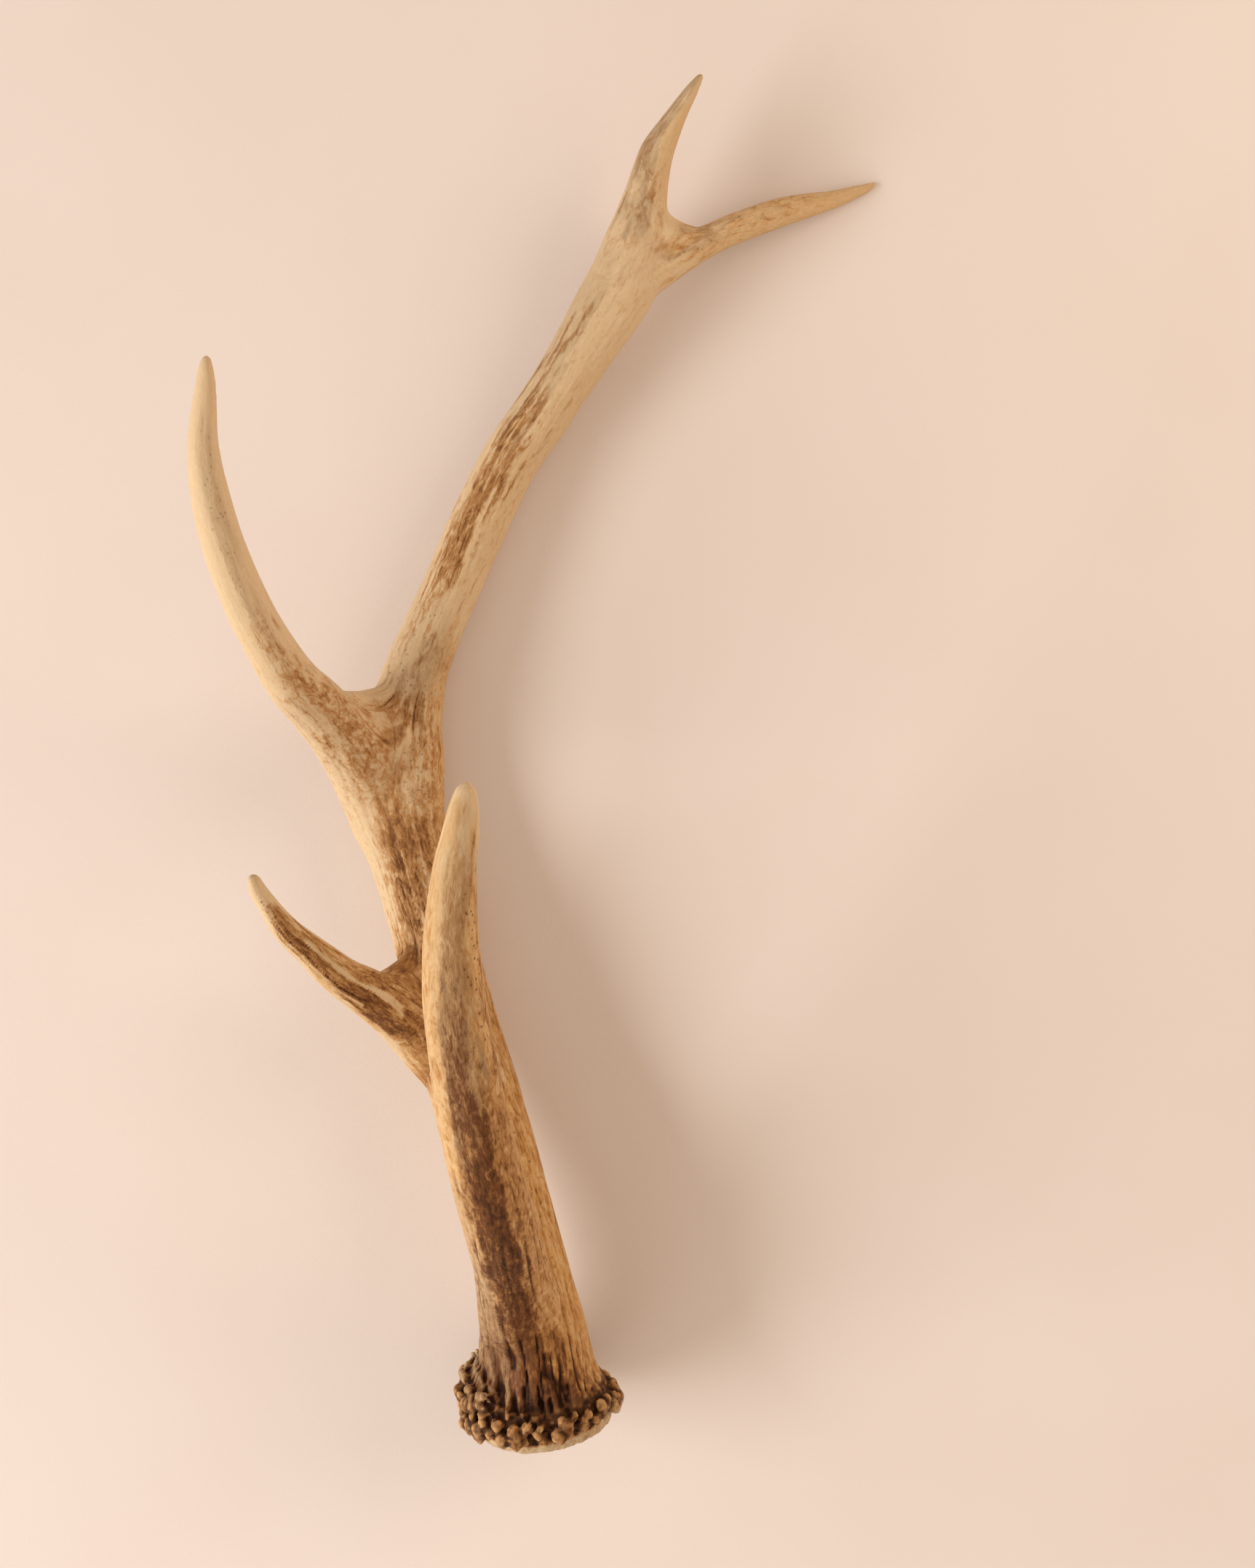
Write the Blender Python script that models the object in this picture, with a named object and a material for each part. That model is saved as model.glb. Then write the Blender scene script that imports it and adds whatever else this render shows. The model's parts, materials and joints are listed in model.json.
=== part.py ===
"""A shed deer antler lying on a table, with a pearled burr and five tines.

The antler is one grown bone. It is shaped whole: every branch is swept along its
middle line, the branches are fused and the crotches filleted, the pearls and the
gutters of the bone are raised and sunk, and only then is it parted at its forks.
Lengths are in millimetres until the finished pieces are scaled to metres.
"""

import math
import random

import bmesh
import bpy
import numpy as np
from mathutils import Matrix, Vector, noise

MM = 0.001

# Each station on a branch's middle line: x, y and height above the table, then the
# branch's width seen from above and its thickness. The table is z = 0, y runs up the
# antler from the burr to the crown, and a branch starts inside the one that bears it.
BRANCHES = {
    "beam": [
        (-34.6, -230.0, 33.0, 47.0, 46.5),
        (-35.2, -223.2, 33.8, 45.4, 45.0),
        (-36.1, -214.9, 34.4, 43.1, 42.9),
        (-37.1, -206.1, 34.8, 40.8, 41.0),
        (-39.1, -195.5, 34.6, 37.9, 38.5),
        (-41.5, -183.8, 33.8, 36.0, 36.8),
        (-47.0, -163.6, 32.4, 35.5, 36.5),
        (-53.9, -138.2, 29.0, 35.2, 36.0),
        (-59.5, -118.7, 26.2, 34.6, 34.6),
        (-66.3, -96.6, 23.4, 33.6, 33.2),
        (-73.0, -71.4, 20.2, 31.8, 31.6),
        (-80.0, -47.5, 17.8, 30.4, 30.5),
        (-86.1, -26.2, 15.8, 32.6, 29.5),
        (-91.0, -9.1, 14.8, 39.0, 28.2),
        (-90.0, 9.4, 14.3, 36.4, 27.2),
        (-87.5, 26.5, 14.0, 29.7, 25.4),
        (-82.7, 45.1, 13.4, 25.1, 24.0),
        (-75.6, 62.9, 13.0, 23.2, 23.2),
        (-67.6, 80.9, 12.8, 22.9, 23.0),
        (-59.3, 100.4, 12.9, 23.2, 23.0),
        (-47.3, 125.1, 13.6, 22.9, 23.0),
        (-36.0, 141.5, 14.8, 23.1, 22.6),
        (-26.3, 156.0, 16.6, 22.9, 21.9),
        (-16.6, 171.0, 19.2, 24.7, 21.3),
        (-8.7, 183.2, 21.6, 27.2, 20.3),
        (-2.0, 194.0, 23.6, 27.8, 18.9),
        (3.5, 204.4, 25.2, 21.8, 17.9),
    ],
    "brow tine": [
        (-38.5, -214.0, 33.0, 36.0, 36.0),
        (-40.6, -201.0, 43.0, 33.5, 36.0),
        (-42.4, -187.0, 59.0, 29.5, 34.0),
        (-43.7, -171.2, 80.0, 26.6, 31.0),
        (-45.3, -153.6, 106.0, 25.8, 29.2),
        (-47.9, -135.7, 126.0, 25.2, 27.3),
        (-50.8, -117.0, 142.0, 23.9, 25.0),
        (-53.0, -98.1, 155.0, 22.7, 23.1),
        (-54.8, -80.2, 166.0, 21.4, 21.5),
        (-55.8, -67.3, 173.0, 20.4, 20.5),
        (-55.9, -48.2, 181.0, 17.9, 18.0),
        (-54.3, -27.5, 188.0, 14.3, 14.3),
        (-52.4, -17.2, 191.0, 12.4, 12.5),
        (-51.1, -7.9, 193.0, 9.9, 10.0),
        (-50.1, -1.6, 195.0, 6.5, 6.6),
    ],
    "bez tine": [
        (-69.9, -110.7, 22.0, 23.1, 22.1),
        (-76.7, -101.1, 27.0, 24.5, 24.1),
        (-83.9, -90.6, 38.0, 23.5, 24.1),
        (-90.7, -82.9, 52.0, 20.2, 20.6),
        (-97.3, -76.6, 64.0, 17.5, 17.7),
        (-103.4, -71.4, 74.0, 15.2, 15.7),
        (-109.0, -65.3, 83.0, 13.7, 14.0),
        (-114.3, -59.3, 89.5, 11.7, 12.2),
        (-119.8, -53.8, 94.5, 10.4, 10.8),
        (-123.7, -48.3, 98.5, 9.0, 9.3),
        (-127.1, -42.5, 101.5, 7.4, 7.9),
        (-129.8, -37.7, 104.0, 6.6, 6.9),
        (-131.3, -33.1, 106.0, 4.9, 5.1),
    ],
    "trez tine": [
        (-93.5, -13.0, 15.0, 31.0, 25.0),
        (-98.6, -1.0, 18.0, 30.6, 25.5),
        (-102.9, 8.5, 27.0, 28.4, 25.5),
        (-108.7, 18.8, 43.0, 25.0, 24.4),
        (-115.4, 28.6, 62.0, 22.4, 22.3),
        (-121.3, 36.6, 80.0, 20.0, 20.3),
        (-127.0, 48.5, 96.0, 17.6, 18.4),
        (-132.3, 60.8, 107.0, 16.5, 16.9),
        (-138.2, 78.7, 118.0, 15.3, 15.3),
        (-141.9, 96.2, 126.0, 13.7, 13.5),
        (-143.3, 112.7, 133.0, 11.1, 11.0),
        (-141.9, 128.4, 137.5, 8.3, 8.3),
        (-141.0, 136.4, 140.0, 6.3, 6.3),
        (-140.7, 141.8, 141.5, 3.9, 3.8),
    ],
    "top tine": [
        (-4.0, 194.5, 24.6, 23.8, 17.9),
        (1.8, 209.2, 26.0, 22.8, 17.5),
        (5.0, 220.0, 27.6, 19.6, 16.8),
        (7.1, 228.7, 29.2, 16.6, 16.1),
        (8.7, 235.6, 30.6, 14.8, 14.8),
        (11.0, 242.6, 32.4, 13.2, 13.4),
        (14.7, 249.3, 34.2, 10.6, 10.9),
        (18.7, 256.0, 36.0, 8.0, 8.4),
        (23.7, 263.9, 37.6, 5.6, 5.8),
        (27.6, 269.6, 38.8, 3.1, 3.2),
    ],
    "back tine": [
        (-4.0, 189.2, 23.6, 16.9, 16.9),
        (9.9, 198.9, 23.4, 17.5, 15.7),
        (21.9, 206.1, 22.4, 14.5, 14.1),
        (31.2, 211.1, 20.8, 12.7, 12.9),
        (39.0, 215.2, 19.0, 12.2, 12.6),
        (56.9, 223.1, 13.6, 11.7, 11.7),
        (68.9, 227.2, 9.8, 10.0, 10.0),
        (80.1, 230.6, 6.4, 7.5, 7.4),
        (88.6, 234.0, 3.9, 5.6, 5.4),
        (95.0, 236.7, 2.2, 3.8, 3.8),
        (98.5, 239.3, 1.2, 2.0, 2.2),
    ],
}

# The thin bone that fills the crotch of a fork, from one branch across to the other.
WEBS = {
    "bez crotch": [
        (-97.5, -78.5, 61.0, 12.0, 12.0),
        (-88.8, -76.8, 41.5, 15.0, 14.0),
        (-78.0, -71.0, 24.5, 18.0, 18.0),
    ],
    "trez crotch": [
        (-116.3, 28.8, 62.0, 15.0, 14.0),
        (-105.6, 27.0, 34.0, 17.0, 15.0),
        (-90.0, 29.0, 16.0, 20.0, 18.0),
    ],
    "trez web": [
        (-109.0, 19.5, 46.0, 20.0, 12.0),
        (-98.0, 17.5, 34.0, 24.0, 15.0),
        (-86.0, 16.0, 19.5, 26.0, 15.0),
    ],
    "crown crotch": [
        (5.0, 219.0, 27.6, 13.0, 13.0),
        (16.4, 212.0, 25.4, 13.0, 14.0),
        (29.8, 208.3, 21.8, 12.0, 12.5),
    ],
}

# The burr is turned about the beam's line. Each step of its profile is a distance along
# that line, towards the beam, a radius and how far it leans to the right. It is wider
# than it is tall. On the left its upper edge climbs the beam. On the right a shoulder
# past its ring climbs too, and its underside drops back.
BURR_CENTRE = Vector((-34.6, -235.4, 31.9))
BURR_AXIS = Vector((-0.13, 0.955, 0.263)).normalized()
BURR_WIDTH = 1.07
BURR_CLIMB = 1.1
BURR_DROP = 8.6
BURR_SHOULDER = 2.2
SHOULDER_START = 4.0
RING_RADIUS = 28.0
BURR_PROFILE = [
    (-14.0, 9.0, 1.8),
    (-13.5, 16.5, 1.6),
    (-11.8, 21.0, 1.2),
    (-8.6, 24.2, 0.6),
    (-4.8, 25.8, 0.0),
    (-1.0, 27.2, 0.0),
    (2.4, 27.6, 0.0),
    (5.0, 25.6, 0.0),
    (8.4, 22.0, 0.0),
]

# The ring of pearls: rows of knobs round the burr, each row a distance along its line,
# the radius it sits at, how many knobs and their mean radius.
PEARL_ROWS = [
    (-0.9, 28.3, 31, 2.9),
    (3.8, 26.8, 27, 2.2),
]
PEARL_SPREAD = 0.26
PEARL_SEED = 11

# Gutters run down the bone between ridges: how many there are round a branch, how far
# they wander and over what length, the turn of the branch where they are deepest, how
# gradually one branch's gutters give way to the next one's, and their depth at
# distances from the branch's start.
GUTTER_COUNT = 19
GUTTER_WANDER = 6.0
GUTTER_LENGTH = 42.0
GUTTER_TURN = math.radians(100)
GUTTER_BLEND = 0.12
GUTTER_DEPTH = {
    "beam": [(-4, 0.0), (6, 1.3), (40, 0.9), (100, 0.7), (210, 0.5), (310, 0.3), (430, 0.0)],
    "brow tine": [(0, 0.5), (70, 0.8), (120, 0.5), (185, 0.0)],
    "bez tine": [(0, 0.6), (50, 0.5), (90, 0.1)],
    "trez tine": [(0, 0.5), (50, 0.4), (100, 0.0)],
    "top tine": [(0, 0.2), (30, 0.0)],
    "back tine": [(0, 0.2), (40, 0.0)],
}

# How finely the branches are swept and fused, and how far and how often the crotches
# and then the whole skin are evened out.
SWEEP_STEP = 3.0
RING_POINTS = 28
SKIN_VOXEL = 1.3
FILLET_REACH = 34.0
FILLET_ROUNDS = 26
SKIN_ROUNDS = 3
TRIANGLES = 8200
GAP = 0.3

# The middle of each fork, where the crotch is rounded.
FORKS = [
    (-42.0, -186.0, 60.0),
    (-84.0, -80.0, 35.0),
    (-101.0, 26.0, 26.0),
    (10.0, 208.0, 24.5),
]

# The cuts: the piece beyond each one, the branch it crosses, and how far along that
# branch's middle line it lies.
CUTS = {
    "brow_tine": ("brow tine", 76.0),
    "bez_tine": ("bez tine", 44.0),
    "middle_beam": ("beam", 177.0),
    "trez_tine": ("trez tine", 62.0),
    "upper_beam": ("beam", 277.0),
    "top_tine": ("top tine", 34.0),
    "back_tine": ("back tine", 40.0),
}
BASE_PIECE = "burr_and_lower_beam"

# Colour of the bone where each piece lies, linear red, green and blue, and roughness.
BONE = {
    "burr_and_lower_beam": ((0.26, 0.16, 0.075), 0.55),
    "middle_beam": ((0.36, 0.24, 0.12), 0.5),
    "upper_beam": ((0.55, 0.41, 0.23), 0.45),
    "brow_tine": ((0.58, 0.43, 0.23), 0.42),
    "bez_tine": ((0.42, 0.29, 0.15), 0.45),
    "trez_tine": ((0.68, 0.54, 0.33), 0.42),
    "top_tine": ((0.62, 0.48, 0.29), 0.42),
    "back_tine": ((0.58, 0.42, 0.22), 0.42),
}


def clear_scene():
    for thing in list(bpy.data.objects):
        bpy.data.objects.remove(thing, do_unlink=True)


class MiddleLine:
    """A smooth curve through a branch's stations, with its size and directions."""

    def __init__(self, stations):
        self.rows = self.catmull_rom(np.array(stations, float))
        self.places = self.rows[:, :3]
        steps = np.linalg.norm(np.diff(self.places, axis=0), axis=1)
        self.run = np.concatenate([[0], np.cumsum(steps)])
        self.ahead = self.unit(np.gradient(self.places, axis=0))
        self.side = self.unit(np.cross(self.ahead, (0.0, 0.0, 1.0)))
        self.up = np.cross(self.side, self.ahead)

    @staticmethod
    def unit(vectors):
        return vectors / np.linalg.norm(vectors, axis=1, keepdims=True)

    @staticmethod
    def catmull_rom(knots):
        padded = np.vstack([2 * knots[0] - knots[1], knots, 2 * knots[-1] - knots[-2]])
        rows = []
        for before, start, end, after in zip(padded, padded[1:], padded[2:], padded[3:]):
            length = np.linalg.norm(end[:3] - start[:3])
            for t in np.arange(0, 1, SWEEP_STEP / length):
                line = 2 * start + (end - before) * t
                bend = (2 * before - 5 * start + 4 * end - after) * t ** 2
                twist = (3 * start - before - 3 * end + after) * t ** 3
                rows.append((line + bend + twist) / 2)
        rows.append(knots[-1])
        return np.array(rows)

    def ring(self, i):
        """Points round the branch at row i."""
        _, _, _, width, thickness = self.rows[i]
        return [
            self.places[i]
            + math.cos(turn) * width / 2 * self.side[i]
            + math.sin(turn) * thickness / 2 * self.up[i]
            for turn in np.linspace(0, 2 * math.pi, RING_POINTS, endpoint=False)
        ]

    def nearest(self, points):
        """For each point, the nearest row and the distance to it."""
        best = np.zeros(len(points), int)
        reach = np.full(len(points), np.inf)
        for i, place in enumerate(self.places):
            distance = np.linalg.norm(points - place, axis=1)
            closer = distance < reach
            best[closer] = i
            reach[closer] = distance[closer]
        return best, reach


def add_tube(bm, rings, start_tip, end_tip):
    """A closed tube through rings of points, with a point in the middle of each end."""
    loops = [[bm.verts.new(point) for point in ring] for ring in rings]
    count = len(loops[0])
    for low, high in zip(loops, loops[1:]):
        for i in range(count):
            j = (i + 1) % count
            bm.faces.new((low[i], low[j], high[j], high[i]))
    bottom = bm.verts.new(start_tip)
    top = bm.verts.new(end_tip)
    for i in range(count):
        j = (i + 1) % count
        bm.faces.new((bottom, loops[0][j], loops[0][i]))
        bm.faces.new((top, loops[-1][i], loops[-1][j]))


def sweep_branch(bm, line):
    """An oval tube along a branch, ending in a round tip."""
    rings = [line.ring(i) for i in range(len(line.rows))]
    tip = line.places[-1] + line.ahead[-1] * line.rows[-1, 3] * 0.45
    add_tube(bm, rings, line.places[0], tip)


def burr_point(along, radius, turn):
    """A point round the burr, where a quarter turn is its upper side."""
    underside = (1 - math.sin(turn)) / 2
    right, left = max(0.0, math.cos(turn)), max(0.0, -math.cos(turn))
    along += BURR_CLIMB * left * max(0.0, along)
    along += BURR_SHOULDER * right * max(0.0, along - SHOULDER_START)
    along -= BURR_DROP * right * underside * radius / RING_RADIUS
    side = BURR_AXIS.cross(Vector((0, 0, 1))).normalized()
    up = side.cross(BURR_AXIS)
    outward = BURR_WIDTH * math.cos(turn) * side + math.sin(turn) * up
    return BURR_CENTRE + along * BURR_AXIS + radius * outward


def turn_burr(bm):
    """The seal, the ring that carries the pearls, and the shoulder below the beam."""
    turns = np.linspace(0, 2 * math.pi, 2 * RING_POINTS, endpoint=False)
    right = BURR_AXIS.cross(Vector((0, 0, 1))).normalized()
    rings = [
        [burr_point(along, radius, turn) + lean * right for turn in turns]
        for along, radius, lean in BURR_PROFILE
    ]
    (first, _, lean), (last, _, _) = BURR_PROFILE[0], BURR_PROFILE[-1]
    add_tube(bm, rings, burr_point(first - 0.5, 0, 0) + lean * right, burr_point(last, 0, 0))


def add_pearls(bm):
    """Knobs of uneven size round the burr, longer along the beam than across it."""
    chance = random.Random(PEARL_SEED)
    grain = BURR_AXIS.to_track_quat("Z", "Y").to_matrix().to_4x4()
    for along, radius, count, mean in PEARL_ROWS:
        for i in range(count):
            turn = (i + chance.uniform(-PEARL_SPREAD, PEARL_SPREAD)) / count * 2 * math.pi
            size = mean * chance.uniform(0.78, 1.2)
            place = burr_point(along + chance.uniform(-1.1, 1.1), radius + size * 0.25, turn)
            stretch = Matrix.Diagonal((size, size, size * chance.uniform(1.0, 1.5), 1.0))
            bmesh.ops.create_icosphere(
                bm, subdivisions=2, radius=1.0,
                matrix=Matrix.Translation(place) @ grain @ stretch)


def settle(thing):
    """Replaces an object's mesh by what its modifiers make of it."""
    graph = bpy.context.evaluated_depsgraph_get()
    old = thing.data
    thing.data = bpy.data.meshes.new_from_object(thing.evaluated_get(graph))
    thing.modifiers.clear()
    bpy.data.meshes.remove(old)


def fuse(lines):
    """All the branches, the webs, the burr and its pearls as one skin."""
    bm = bmesh.new()
    for line in lines.values():
        sweep_branch(bm, line)
    for stations in WEBS.values():
        sweep_branch(bm, MiddleLine(stations))
    turn_burr(bm)
    add_pearls(bm)
    bmesh.ops.recalc_face_normals(bm, faces=bm.faces)
    mesh = bpy.data.meshes.new("antler_skin")
    bm.to_mesh(mesh)
    bm.free()
    skin = bpy.data.objects.new("antler_skin", mesh)
    bpy.context.scene.collection.objects.link(skin)

    join = skin.modifiers.new("join", "REMESH")
    join.mode = "VOXEL"
    join.voxel_size = SKIN_VOXEL
    settle(skin)
    return skin


def round_crotches(skin):
    """Evens out the skin, most of all in the forks."""
    crotch = skin.vertex_groups.new(name="crotches")
    for vertex in skin.data.vertices:
        nearest = min((vertex.co - Vector(fork)).length for fork in FORKS)
        weight = 1.6 * (1 - nearest / FILLET_REACH)
        if weight > 0:
            crotch.add([vertex.index], min(1.0, weight), "REPLACE")
    for name, rounds, group in (("fillet", FILLET_ROUNDS, "crotches"), ("even", SKIN_ROUNDS, "")):
        smooth = skin.modifiers.new(name, "SMOOTH")
        smooth.factor = 0.5
        smooth.iterations = rounds
        smooth.vertex_group = group
    settle(skin)


def gutter_depth(name, line, row, offset):
    """How deep the gutters of one branch are at points offset from its nearest rows."""
    across = np.einsum("ij,ij->i", offset, line.side[row]) / line.rows[row, 3]
    above = np.einsum("ij,ij->i", offset, line.up[row]) / line.rows[row, 4]
    along = line.run[row] + np.einsum("ij,ij->i", offset, line.ahead[row])
    wander = np.array([
        noise.noise(Vector((2.2 * a, 2.2 * u, s / GUTTER_LENGTH)))
        for a, u, s in zip(across, above, along)
    ])
    turn = np.arctan2(above, across)
    wave = 0.5 + 0.5 * np.cos(GUTTER_COUNT * turn + GUTTER_WANDER * wander)
    facing = 0.6 + 0.4 * np.cos(turn - GUTTER_TURN)
    depth = np.interp(along, *zip(*GUTTER_DEPTH[name]))
    return depth * facing * (0.75 + 0.8 * wander) * (wave ** 2 - 0.25)


def carve_gutters(skin, lines):
    """Sinks wandering gutters along the beam and the lower part of each tine."""
    count = len(skin.data.vertices)
    points = np.empty(count * 3)
    normals = np.empty(count * 3)
    skin.data.vertices.foreach_get("co", points)
    skin.data.vertices.foreach_get("normal", normals)
    points = points.reshape(-1, 3)
    normals = normals.reshape(-1, 3)

    near = {name: line.nearest(points) for name, line in lines.items()}
    apart = {name: reach / lines[name].rows[row, 3] for name, (row, reach) in near.items()}
    closest = np.min(list(apart.values()), axis=0)
    sink = np.zeros(count)
    shares = np.zeros(count)
    for name, line in lines.items():
        share = np.exp((closest - apart[name]) / GUTTER_BLEND)
        row = near[name][0]
        sink += share * gutter_depth(name, line, row, points - line.places[row])
        shares += share
    points -= normals * (sink / shares)[:, None]
    skin.data.vertices.foreach_set("co", points.ravel())
    skin.data.update()


def thin_out(skin):
    """Large facets where the bone is plain, fine ones where it is rough."""
    skin.data.calc_loop_triangles()
    fewer = skin.modifiers.new("fewer facets", "DECIMATE")
    fewer.ratio = TRIANGLES / len(skin.data.loop_triangles)
    fewer.use_collapse_triangulate = True
    settle(skin)


def cut_across(bm, line, along):
    """Parts one branch by a thin straight gap: returns its place, and one well beyond."""
    i = int(np.searchsorted(line.run, along))
    place = Vector(line.places[i])
    ahead = Vector(line.ahead[i])
    reach = line.rows[i, 3:5].max() * 0.95
    for way in (-0.5, 0.5):
        near = [face for face in bm.faces if (face.calc_center_median() - place).length < reach]
        edges = {edge for face in near for edge in face.edges}
        corners = {vertex for face in near for vertex in face.verts}
        bmesh.ops.bisect_plane(
            bm, geom=near + list(edges) + list(corners), dist=1e-5,
            plane_co=place + ahead * GAP * way, plane_no=ahead)
    between = [
        face for face in bm.faces
        if (face.calc_center_median() - place).length < reach
        and abs((face.calc_center_median() - place).dot(ahead)) < GAP * 0.499
    ]
    bmesh.ops.delete(bm, geom=between, context="FACES")
    rims = [edge for edge in bm.edges if edge.is_boundary]
    bmesh.ops.holes_fill(bm, edges=rims, sides=0)
    return place + ahead * GAP, place + ahead * line.rows[i, 3]


def loose_pieces(bm):
    """The sets of faces that hang together."""
    left = set(bm.faces)
    while left:
        piece = set()
        to_visit = [left.pop()]
        while to_visit:
            face = to_visit.pop()
            piece.add(face)
            for edge in face.edges:
                for other in edge.link_faces:
                    if other in left:
                        left.remove(other)
                        to_visit.append(other)
        yield piece


def distance_to(faces, place):
    return min((face.calc_center_median() - place).length for face in faces)


def bone_material(name):
    colour, roughness = BONE[name]
    material = bpy.data.materials.new(f"bone of {name}".replace("_", " "))
    material.use_nodes = True
    shader = material.node_tree.nodes["Principled BSDF"]
    shader.inputs["Base Color"].default_value = (*colour, 1.0)
    shader.inputs["Roughness"].default_value = roughness
    shader.inputs["Metallic"].default_value = 0.0
    return material


def make_piece(name, faces, place, shift, whole):
    """One named piece in metres, with its origin at its fork, under the antler's empty."""
    bm = bmesh.new()
    copies = {}
    for face in faces:
        for vertex in face.verts:
            if vertex not in copies:
                copies[vertex] = bm.verts.new((vertex.co - place) * MM)
        bm.faces.new([copies[vertex] for vertex in face.verts])
    mesh = bpy.data.meshes.new(name)
    bm.to_mesh(mesh)
    bm.free()
    mesh.shade_smooth()
    mesh.set_sharp_from_angle(angle=math.radians(55))
    mesh.materials.append(bone_material(name))
    piece = bpy.data.objects.new(name, mesh)
    piece.location = (place + shift) * MM
    piece.parent = whole
    bpy.context.scene.collection.objects.link(piece)


def part_at_forks(skin, lines):
    """Cuts the skin across at its forks and makes a named piece of each part."""
    bm = bmesh.new()
    bm.from_mesh(skin.data)
    starts = {name: cut_across(bm, lines[branch], along) for name, (branch, along) in CUTS.items()}
    starts[BASE_PIECE] = (BURR_CENTRE, BURR_CENTRE)

    low = Vector([min(v.co[i] for v in bm.verts) for i in range(3)])
    high = Vector([max(v.co[i] for v in bm.verts) for i in range(3)])
    shift = Vector((-(low.x + high.x) / 2, -(low.y + high.y) / 2, -low.z))

    whole = bpy.data.objects.new("antler", None)
    bpy.context.scene.collection.objects.link(whole)
    pieces = list(loose_pieces(bm))
    for name, (start, beyond) in starts.items():
        faces = min(pieces, key=lambda piece: distance_to(piece, beyond))
        pieces.remove(faces)
        make_piece(name, faces, start, shift, whole)
    bm.free()


def main():
    clear_scene()
    lines = {name: MiddleLine(stations) for name, stations in BRANCHES.items()}
    skin = fuse(lines)
    round_crotches(skin)
    carve_gutters(skin, lines)
    thin_out(skin)
    part_at_forks(skin, lines)
    bpy.data.objects.remove(skin, do_unlink=True)


main()
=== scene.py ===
import json
import math
import random

import bmesh
import bpy
import numpy as np
from mathutils import Matrix, Vector

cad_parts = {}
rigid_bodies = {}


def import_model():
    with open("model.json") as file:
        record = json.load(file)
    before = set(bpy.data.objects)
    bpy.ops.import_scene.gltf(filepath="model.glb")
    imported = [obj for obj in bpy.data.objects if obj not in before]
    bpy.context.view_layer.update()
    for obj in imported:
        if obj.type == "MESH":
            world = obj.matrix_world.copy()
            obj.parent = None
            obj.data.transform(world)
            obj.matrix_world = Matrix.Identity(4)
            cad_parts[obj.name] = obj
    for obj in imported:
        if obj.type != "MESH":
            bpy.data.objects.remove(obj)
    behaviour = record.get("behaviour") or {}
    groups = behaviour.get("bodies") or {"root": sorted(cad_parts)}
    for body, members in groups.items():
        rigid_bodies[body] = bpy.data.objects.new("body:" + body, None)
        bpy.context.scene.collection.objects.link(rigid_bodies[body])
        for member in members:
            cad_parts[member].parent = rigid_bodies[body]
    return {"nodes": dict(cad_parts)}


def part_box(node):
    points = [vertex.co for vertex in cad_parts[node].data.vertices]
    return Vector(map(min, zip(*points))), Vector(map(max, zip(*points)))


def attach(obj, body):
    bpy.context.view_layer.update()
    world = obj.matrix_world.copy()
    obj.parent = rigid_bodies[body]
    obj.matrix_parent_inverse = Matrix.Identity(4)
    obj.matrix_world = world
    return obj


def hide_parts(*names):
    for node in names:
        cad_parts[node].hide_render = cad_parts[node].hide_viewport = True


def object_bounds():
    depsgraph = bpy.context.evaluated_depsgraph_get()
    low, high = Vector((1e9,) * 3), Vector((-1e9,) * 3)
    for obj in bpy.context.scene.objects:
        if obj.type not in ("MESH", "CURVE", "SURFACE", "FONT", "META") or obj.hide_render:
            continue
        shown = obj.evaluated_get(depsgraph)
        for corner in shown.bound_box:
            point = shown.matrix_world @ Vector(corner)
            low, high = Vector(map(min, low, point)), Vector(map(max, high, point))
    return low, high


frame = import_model()
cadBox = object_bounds()
print("antler: solids loaded,", len(frame["nodes"]), "nodes")

mm = 0.001

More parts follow.
